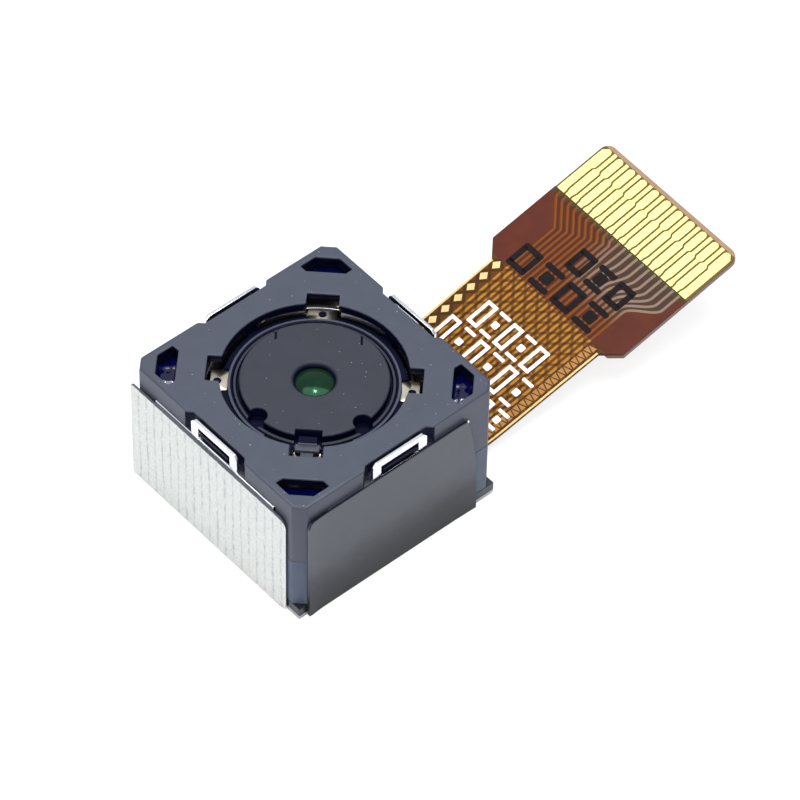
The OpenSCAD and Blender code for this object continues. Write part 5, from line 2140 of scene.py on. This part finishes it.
def sheet_mesh(
    name: str,
    columns: Sequence[float],
    height: Callable[[float], tuple[float, float]],
    depth: Callable[[float, float], float],
    back: float,
    rows: int,
    axis: int,
    flat: Callable[[float, float], tuple[float, float]] | None = None,
) -> bpy.types.Mesh:
    """Makes an upright closed sheet from a grid of columns.

    Args:
        name: Name of the mesh.
        columns: Places across the sheet.
        height: Lowest and highest point of a column.
        depth: How far out the face lies at a point.
        back: Where the sheet's back lies.
        rows: Steps up the sheet.
        axis: 1 if the sheet faces along Y, 0 if along X.
        flat: Gives the UV place of a point from its place across and its height.

    Returns:
        The mesh, in metres.
    """
    points: list[Point] = []
    for across in columns:
        low, high = height(across)
        for level in (0, 1):
            for r in range(rows + 1):
                z = low + (high - low) * r / rows
                out = back if level == 0 else depth(across, z)
                points.append((across, out, z) if axis == 1 else (out, across, z))
    row = 2 * (rows + 1)
    faces: list[Sequence[int]] = []
    for c in range(len(columns) - 1):
        a, b = c * row, (c + 1) * row
        fa, fb = a + rows + 1, b + rows + 1
        for r in range(rows):
            faces.append((a + r, a + r + 1, b + r + 1, b + r))
            faces.append((fa + r, fb + r, fb + r + 1, fa + r + 1))
        faces.append((a, b, fb, fa))
        faces.append((a + rows, fa + rows, fb + rows, b + rows))
    last = (len(columns) - 1) * row
    for r in range(rows):
        faces.append((r, rows + 1 + r, rows + 2 + r, r + 1))
        faces.append((last + r, last + r + 1, last + rows + 2 + r, last + rows + 1 + r))
    mesh = outward(mesh_from(name, points, faces))
    if flat:
        layer = mesh.uv_layers.new(name="flat")
        uv = [flat(points[loop.vertex_index][1 - axis], points[loop.vertex_index][2]) for loop in mesh.loops]
        layer.data.foreach_set("uv", np.array(uv, dtype=np.float32).ravel())
    return mesh


@dataclass
class Tail(SubAssembly):
    """The flexible printed tail, from its root in the board to its gold contacts."""

    surface: TailSurface = field(default_factory=TailSurface)
    contact_count: int = 21
    contact_pitch: float = 0.3
    contact_gap: float = 0.074
    contact_narrow: float = 0.15
    trace_pitch: float = 0.2075
    trace_half: float = 0.05
    trace_rise: float = 0.009
    mesh_pitch: float = 0.595
    contact_from: float = 9.65
    contact_to: float = 11.96
    contact_mid: float = 11.126

    def build(self) -> None:
        """Builds the tail."""
        skin = self.surface
        film_top = skin.film_half
        base = skin.film("tail_film", -0.6, skin.length, -film_top, film_top)
        self.keep(new_piece("tail_film", base, TAIL), Body.MODULE, "base_film", ["flex_cable"])
        cover_top = film_top + skin.coverlay
        cover = skin.film("tail_coverlay", 0.02, skin.coverlay_to, film_top, cover_top, 0.0)
        self.keep(new_piece("tail_coverlay", cover, TAIL), Body.MODULE, "coverlay_film", ["coverlay"])
        self.dress(["contact_stiffener"], STIFFENER)
        self.add_traces(cover_top)
        self.add_lattice(cover_top)
        self.add_contacts(film_top)
        self.add_margins(cover_top)
        self.add_ink(cover_top)

    def trace_x(self, index: int, s: float) -> float:
        """Place across the tail of a track at a place along it.

        Args:
            index: Number of the track, from the -X side.
            s: Place along the tail.

        Returns:
            Its place across the tail.
        """
        middle = (self.contact_count - 1) / 2
        start = (index - middle) * self.trace_pitch + 0.025
        end = (index - middle) * self.contact_pitch
        shift = abs(end - start)
        if index < middle:
            knee = 9.4 - shift
            share = min(max((s - knee) / max(shift, 0.01), 0.0), 1.0)
            return start + (end - start) * share
        knee = 7.8 + 0.35 * (self.contact_count - 1 - index) / middle
        share = min(max((s - knee) / 1.0, 0.0), 1.0)
        return start + (end - start) * share * share * (3 - 2 * share)

    def add_traces(self, top: float) -> None:
        """Lays the copper tracks as low ridges under the coverlay.

        Args:
            top: Height of the coverlay's top.
        """
        curve = bpy.data.curves.new("tracks", "CURVE")
        curve.dimensions = "3D"
        steps = 110
        for index in range(self.contact_count):
            line = curve.splines.new("POLY")
            line.points.add(steps)
            for k in range(steps + 1):
                s = 0.05 + (9.6 - 0.05) * k / steps
                line.points[k].co = (self.trace_x(index, s), s, 0.0, 1.0)
        inputs = {"Radius": self.trace_half, "Sides": 6, "Material": TRACE.material()}
        swept = run_tree(curve, ribbon_tree(), inputs)
        mesh = self.surface.wrap_mesh("tracks", swept, self.trace_rise / self.trace_half, top)
        self.keep(new_piece("copper_tracks", mesh, TRACE, 50), Body.MODULE, "coverlay_film")

    def add_lattice(self, top: float) -> None:
        """Lays the pale openings of the copper lattice along both edges of the neck.

        Args:
            top: Height of the coverlay's top.
        """
        rise, bevel = 0.008, 0.003
        diamond = slab_mesh("diamond", [(0.165, 0), (0, 0.2), (-0.165, 0), (0, -0.2)], 0, rise, bevel)
        up = slab_mesh("wedge", [(0.15, 0.0), (-0.15, 0.1), (-0.15, -0.1)], 0, rise, bevel)
        down = slab_mesh("wedge", [(0.15, -0.1), (0.15, 0.1), (-0.15, 0.0)], 0, rise, bevel)
        half = self.mesh_pitch / 2
        rows = [
            ("lattice_diamonds", diamond, PALE_OPENING, -2.4, 0.69, self.mesh_pitch, 10),
            ("lattice_wedges_up", up, TAN_OPENING, 2.38, 0.3, half, 20),
            ("lattice_wedges_down", down, TAN_OPENING, 2.38, 0.3 + half / 2, half, 20),
        ]
        for name, item, finish, x, start, pitch, count in rows:
            inputs = {
                "Count": count,
                "Start": (x, start, 0.0),
                "Step": (0.0, pitch, 0.0),
                "Material": finish.material(),
            }
            flat = run_tree(item, row_tree(), inputs)
            mesh = self.surface.wrap_mesh(name, flat, 1.0, top)
            self.keep(new_piece(name, mesh, finish), Body.MODULE, "coverlay_film")

    def contact_edge(self, front: bool) -> Outline:
        """Right edge of a contact. Neighbours share each gap, so one flares where the other narrows.

        Args:
            front: True for a contact of the front row, whose wide pad lies at the tip.

        Returns:
            Points from the coverlay's edge to the tip.
        """
        wide = self.contact_pitch - self.contact_narrow / 2 - self.contact_gap
        thin = self.contact_narrow / 2
        even = (self.contact_pitch - self.contact_gap) / 2
        low, mid, high = self.contact_from, self.contact_mid, self.contact_to
        back = [(even, low)] + self.flare(even, wide, low + 0.08, low + 0.3)
        back += self.flare(wide, thin, mid - 0.14, mid)
        if not front:
            return back + [(thin, high)]
        nose = 0.14
        edge = [(self.contact_pitch - self.contact_gap - x, s) for x, s in back]
        edge += [(wide, high - nose)]
        for angle in (22.5, 45, 67.5, 90):
            turn = math.radians(angle)
            edge.append((wide - nose + nose * math.cos(turn), high - nose + nose * math.sin(turn)))
        return edge

    def flare(self, start: float, end: float, low: float, high: float) -> Outline:
        """Smooth change of a contact's half width.

        Args:
            start: Half width where it begins.
            end: Half width where it ends.
            low: Where it begins.
            high: Where it ends.

        Returns:
            Points from low to high.
        """
        points = []
        for i in range(7):
            share = i / 6
            points.append((start + (end - start) * share * share * (3 - 2 * share), low + (high - low) * share))
        return points

    def add_contacts(self, film_top: float) -> None:
        """Builds the gold contacts in two staggered rows. The outermost two fill the film out to its edges.

        Args:
            film_top: Height of the base film's top.
        """
        rise, bevel = 0.022, 0.006
        step = 2 * self.contact_pitch
        reach = (self.contact_count - 1) / 2 * self.contact_pitch
        side = self.surface.end_half - reach - self.contact_gap
        cut = self.surface.tip_r / 2
        outer = [(side, self.contact_from), (side, self.contact_to - cut), (side - cut, self.contact_to)]
        front = self.contact_edge(True)
        shell = bmesh.new()
        inner_count = self.contact_count // 2
        for edge, count, start in (
            (front, inner_count - 1, -reach + step),
            (self.contact_edge(False), inner_count, -reach + self.contact_pitch),
        ):
            outline = edge + [(-x, s) for x, s in reversed(edge)]
            inputs = {
                "Count": count,
                "Start": (start, 0.0, 0.0),
                "Step": (step, 0.0, 0.0),
                "Material": GOLD.material(),
            }
            shell.from_mesh(run_tree(slab_mesh("pad", outline, 0.0, rise, bevel), row_tree(), inputs))
        for sign in (-1, 1):
            right, left = (outer, front) if sign > 0 else (front, outer)
            outline = [(x + sign * reach, s) for x, s in right]
            outline += [(-x + sign * reach, s) for x, s in reversed(left)]
            shell.from_mesh(slab_mesh("pad", outline, 0.0, rise, bevel))
        joined = bpy.data.meshes.new("contacts")
        shell.to_mesh(joined)
        shell.free()
        mesh = self.surface.wrap_mesh("contacts", joined, 1.0, film_top)
        self.keep(
            new_piece("gold_contacts", mesh, GOLD, 40), Body.MODULE, "contact_gold", ["contact_fingers"]
        )

    def add_margins(self, top: float) -> None:
        """Adds the paler film margins beyond the copper, along the neck and beyond the contacts. The neck's pale
        margins are partly bare film, partly painted glow of light through the film.

        Args:
            top: Height of the coverlay's top.
        """
        skin = self.surface
        # Painted glow: the neck's margins are pale as if lit through the film.
        for name, side in (("margin_left_and_glow", -1), ("margin_right_and_glow", 1)):
            flat: list[Point] = []
            for s in skin.stations(0.1, skin.neck_len, 0.3):
                outer = side * (skin.half(s) - 0.002)
                inner = side * (skin.half(s) - 0.075)
                flat += [(inner, s, top - 0.01), (outer, s, top - 0.01), (outer, s, top + 0.004),
                         (inner, s, top + 0.004)]
            mesh = skin.wrap(name, flat, tube_faces(len(flat) // 4, 4))
            piece = new_piece(name, mesh, MARGIN_AND_GLOW)
            self.keep(piece, Body.MODULE, "base_film")
        flat = []
        for s in skin.stations(self.contact_to + 0.02, skin.length - 0.002, 0.1):
            half = skin.half(s) - 0.003
            low, high = skin.film_half - 0.01, skin.film_half + 0.006
            flat += [(-half, s, low), (half, s, low), (half, s, high), (-half, s, high)]
        mesh = skin.wrap("tip_margin", flat, tube_faces(len(flat) // 4, 4))
        self.keep(new_piece("tip_margin", mesh, TIP_MARGIN), Body.MODULE, "base_film")

    def add_ink(self, top: float) -> None:
        """Adds plain generic marks: white boxes and bars on the neck, dark bars on the contact end.

        Args:
            top: Height of the coverlay's top.
        """
        rise = self.trace_rise + 0.005
        white: list[Outline] = []
        dark: list[Outline] = []
        rows = [
            (white, 3.86, 4.94, 0.5, 0.13, 0.0, [-1.55, -0.895, -0.24, 0.415, 1.07]),
            (white, 2.5, 3.7, 0.5, 0.13, 0.0, [-2.05, -1.32, -0.59, 0.14, 0.87, 1.6]),
            (white, 1.5, 2.3, 0.5, 0.13, 0.0, [1.2, 1.93]),
            (dark, 6.36, 7.42, 0.88, 0.23, 0.09, [-2.3, -1.2, -0.1, 1.0]),
            (dark, 7.65, 8.64, 0.78, 0.23, 0.09, [-0.75, 0.2, 1.15]),
        ]
        for marks, low, high, width, stroke, corner, places in rows:
            for number, x in enumerate(places):
                marks += mark_strokes(x, low, x + width, high, stroke, corner, number % 2 == 0)
        for name, outlines, finish in (("white_marks", white, WHITE_INK), ("dark_marks", dark, DARK_INK)):
            shell = bmesh.new()
            for outline in outlines:
                shell.from_mesh(slab_mesh("mark", outline, 0.0, rise, 0.003))
            flat = bpy.data.meshes.new(name)
            shell.to_mesh(flat)
            shell.free()
            mesh = self.surface.wrap_mesh(name, flat, 1.0, top)
            self.keep(new_piece(name, mesh, finish), Body.MODULE, "coverlay_film")


def mark_strokes(
    x0: float, y0: float, x1: float, y1: float, stroke: float, corner: float, boxed: bool
) -> list[Outline]:
    """Strokes of one plain generic mark: an outlined box, or two bars with a dot between them.

    Args:
        x0: Left.
        y0: Bottom.
        x1: Right.
        y1: Top.
        stroke: Width of the strokes.
        corner: Radius of their corners, beyond a fifth of their width.
        boxed: True for the box.

    Returns:
        The outline of each stroke.
    """
    r = stroke / 5 + corner * 0.4
    low, high = rounded(x0, y0, x1, y0 + stroke, r), rounded(x0, y1 - stroke, x1, y1, r)
    if boxed:
        inner_low, inner_high = y0 + stroke * 0.6, y1 - stroke * 0.6
        left = rounded(x0, inner_low, x0 + stroke, inner_high, r)
        return [low, high, left, rounded(x1 - stroke, inner_low, x1, inner_high, r)]
    middle_x, middle_y = (x0 + x1) / 2, (y0 + y1) / 2
    dot = rounded(middle_x - stroke, middle_y - stroke, middle_x + stroke, middle_y + stroke, stroke * 0.4)
    return [low, high, dot]


def tube_faces(rings: int, sides: int) -> list[Sequence[int]]:
    """Faces of a closed bar drawn as rings of points.

    Args:
        rings: Number of rings.
        sides: Points in each ring.

    Returns:
        The faces.
    """
    faces: list[Sequence[int]] = [tuple(range(sides))]
    for r in range(rings - 1):
        for k in range(sides):
            a, b = r * sides + k, r * sides + (k + 1) % sides
            faces.append((a, a + sides, b + sides, b))
    faces.append(tuple(reversed(range((rings - 1) * sides, rings * sides))))
    return faces


@dataclass
class Studio:
    """White sweep, soft light and the photograph's camera.

    Attributes:
        azimuth: Direction of the camera round the head, in degrees.
        elevation: Height of the camera over the horizon, in degrees.
        roll: Turn of the camera about its own axis, in degrees.
        distance: Distance from the head's middle.
        shift_right: How far the aim lies to the right of the head's middle.
        shift_up: How far it lies above it.
        focal_px: Focal length in pixels of the square frame.
        frame_px: Width of the square frame in pixels.
    """

    azimuth: float = 48.34
    elevation: float = 48.77
    roll: float = 1.10
    distance: float = 182.63
    shift_right: float = 2.838
    shift_up: float = 1.055
    aim_z: float = 2.5
    focal_px: float = 5500.0
    frame_px: float = 800.0
    sensor: float = 36.0
    sky_colour: str = "#eef1f8"
    horizon_light: float = 0.5
    zenith_light: float = 0.8
    floor_glow: float = 0.77

    def build(self) -> None:
        """Builds the studio."""
        self.add_camera()
        self.add_world()
        self.add_floor()
        self.add_lamps()
        bpy.context.scene.view_settings.view_transform = "Standard"

    def axes(self) -> tuple[Vector, Vector, Vector]:
        """Right, up and backward directions of the camera."""
        az, el, roll = (math.radians(v) for v in (self.azimuth, self.elevation, self.roll))
        back = Vector((math.sin(az) * math.cos(el), -math.cos(az) * math.cos(el), math.sin(el)))
        right = (-back).cross(Vector((0, 0, 1))).normalized()
        up = right.cross(-back)
        turned_right = right * math.cos(roll) + up * math.sin(roll)
        turned_up = up * math.cos(roll) - right * math.sin(roll)
        return turned_right, turned_up, back

    def add_camera(self) -> None:
        """Puts the camera where the photograph was taken."""
        right, up, back = self.axes()
        place = Vector((0, 0, self.aim_z)) + right * self.shift_right + up * self.shift_up + back * self.distance
        camera = bpy.data.cameras.new("photo_camera")
        camera.sensor_width = self.sensor
        camera.lens = self.focal_px / self.frame_px * self.sensor
        camera.clip_start = 0.005
        camera.clip_end = 50.0
        holder = bpy.data.objects.new("photo_camera", camera)
        bpy.context.scene.collection.objects.link(holder)
        turn = Matrix((right, up, back)).transposed().to_4x4()
        holder.matrix_world = Matrix.Translation(place * MM) @ turn
        bpy.context.scene.camera = holder

    def add_world(self) -> None:
        """A pale sky: white to the camera, and brighter high up than at the horizon for the rest."""
        world = bpy.data.worlds.new("pale_room")
        bpy.context.scene.world = world
        world.use_nodes = True
        tree = world.node_tree
        tree.nodes.clear()
        path = add_node(tree, "ShaderNodeLightPath")
        up = add_node(tree, "ShaderNodeSeparateXYZ", {0: add_node(tree, "ShaderNodeTexCoord").outputs["Generated"]})
        strength = add_node(
            tree,
            "ShaderNodeMapRange",
            {"Value": up.outputs[2], "To Min": self.horizon_light, "To Max": self.zenith_light},
        )
        lit = add_node(
            tree, "ShaderNodeBackground", {"Color": linear(self.sky_colour), "Strength": strength.outputs[0]}
        )
        seen = add_node(tree, "ShaderNodeBackground", {"Color": (1, 1, 1, 1), "Strength": 1.0})
        mix = add_node(
            tree, "ShaderNodeMixShader", {0: path.outputs["Is Camera Ray"], 1: lit.outputs[0], 2: seen.outputs[0]}
        )
        add_node(tree, "ShaderNodeOutputWorld", {"Surface": mix.outputs[0]})

    def add_floor(self) -> None:
        """A wide pale floor that shows white to the camera but keeps the object's shadow."""
        half = 3.0
        mesh = bpy.data.meshes.new("floor")
        mesh.from_pydata([(-half, -half, 0), (half, -half, 0), (half, half, 0), (-half, half, 0)], [], [(0, 1, 2, 3)])
        material = bpy.data.materials.new("pale_paper")
        material.use_nodes = True
        tree = material.node_tree
        tree.nodes.clear()
        path = add_node(tree, "ShaderNodeLightPath")
        paper = add_node(tree, "ShaderNodeBsdfDiffuse", {"Color": linear("#e9eaec")})
        thin = add_node(tree, "ShaderNodeBsdfDiffuse", {"Color": (0.28, 0.28, 0.28, 1)})
        glow = add_node(tree, "ShaderNodeEmission", {"Color": (1, 1, 1, 1), "Strength": self.floor_glow})
        shown = add_node(tree, "ShaderNodeAddShader", {0: thin.outputs[0], 1: glow.outputs[0]})
        mix = add_node(
            tree,
            "ShaderNodeMixShader",
            {0: path.outputs["Is Camera Ray"], 1: paper.outputs[0], 2: shown.outputs[0]},
        )
        add_node(tree, "ShaderNodeOutputMaterial", {"Surface": mix.outputs[0]})
        mesh.materials.append(material)
        floor = bpy.data.objects.new("floor", mesh)
        bpy.context.scene.collection.objects.link(floor)
        floor.location.z = -0.00002

    def add_lamps(self) -> None:
        """A large soft key lamp behind the head on the left, and a weak fill from the right."""
        self.add_lamp("key", (-0.05, 0.05, 0.5), 0.35, 2.6, "#f2f4ff")
        self.add_lamp("fill", (0.30, -0.32, 0.34), 0.35, 1.6, "#fff8ee")
        self.add_lamp("side", (-0.20, -0.45, 0.20), 0.35, 0.6, "#eef2ff")
        self.add_lamp("spark", (-0.12, 0.11, 0.47), 0.03, 0.4, "#f4f6ff")

    def add_lamp(self, name: str, place: Point, size: float, power: float, colour: str) -> None:
        """Adds a square area lamp that points at the head.

        Args:
            name: Name of the lamp.
            place: Its place, in metres.
            size: Its side, in metres.
            power: Its power in watts.
            colour: Its colour as hex.
        """
        lamp = bpy.data.lights.new(name, "AREA")
        lamp.shape = "SQUARE"
        lamp.size = size
        lamp.energy = power
        lamp.color = linear(colour)[:3]
        holder = bpy.data.objects.new(name, lamp)
        bpy.context.scene.collection.objects.link(holder)
        holder.location = place
        holder.rotation_euler = (-Vector(place)).to_track_quat("-Z", "Y").to_euler()


def main() -> None:
    logging.basicConfig(level=logging.INFO, format="%(name)s: %(message)s")
    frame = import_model()
    Studio().build()
    nodes = frame["nodes"]
    for group in (Head(nodes), FocusGroup(nodes), LeafSprings(nodes), Wraps(nodes), Tail(nodes)):
        group.build()
        LOG.info("%s made %d pieces", type(group).__name__, len(group.pieces))


if __name__ == "__main__":
    main()
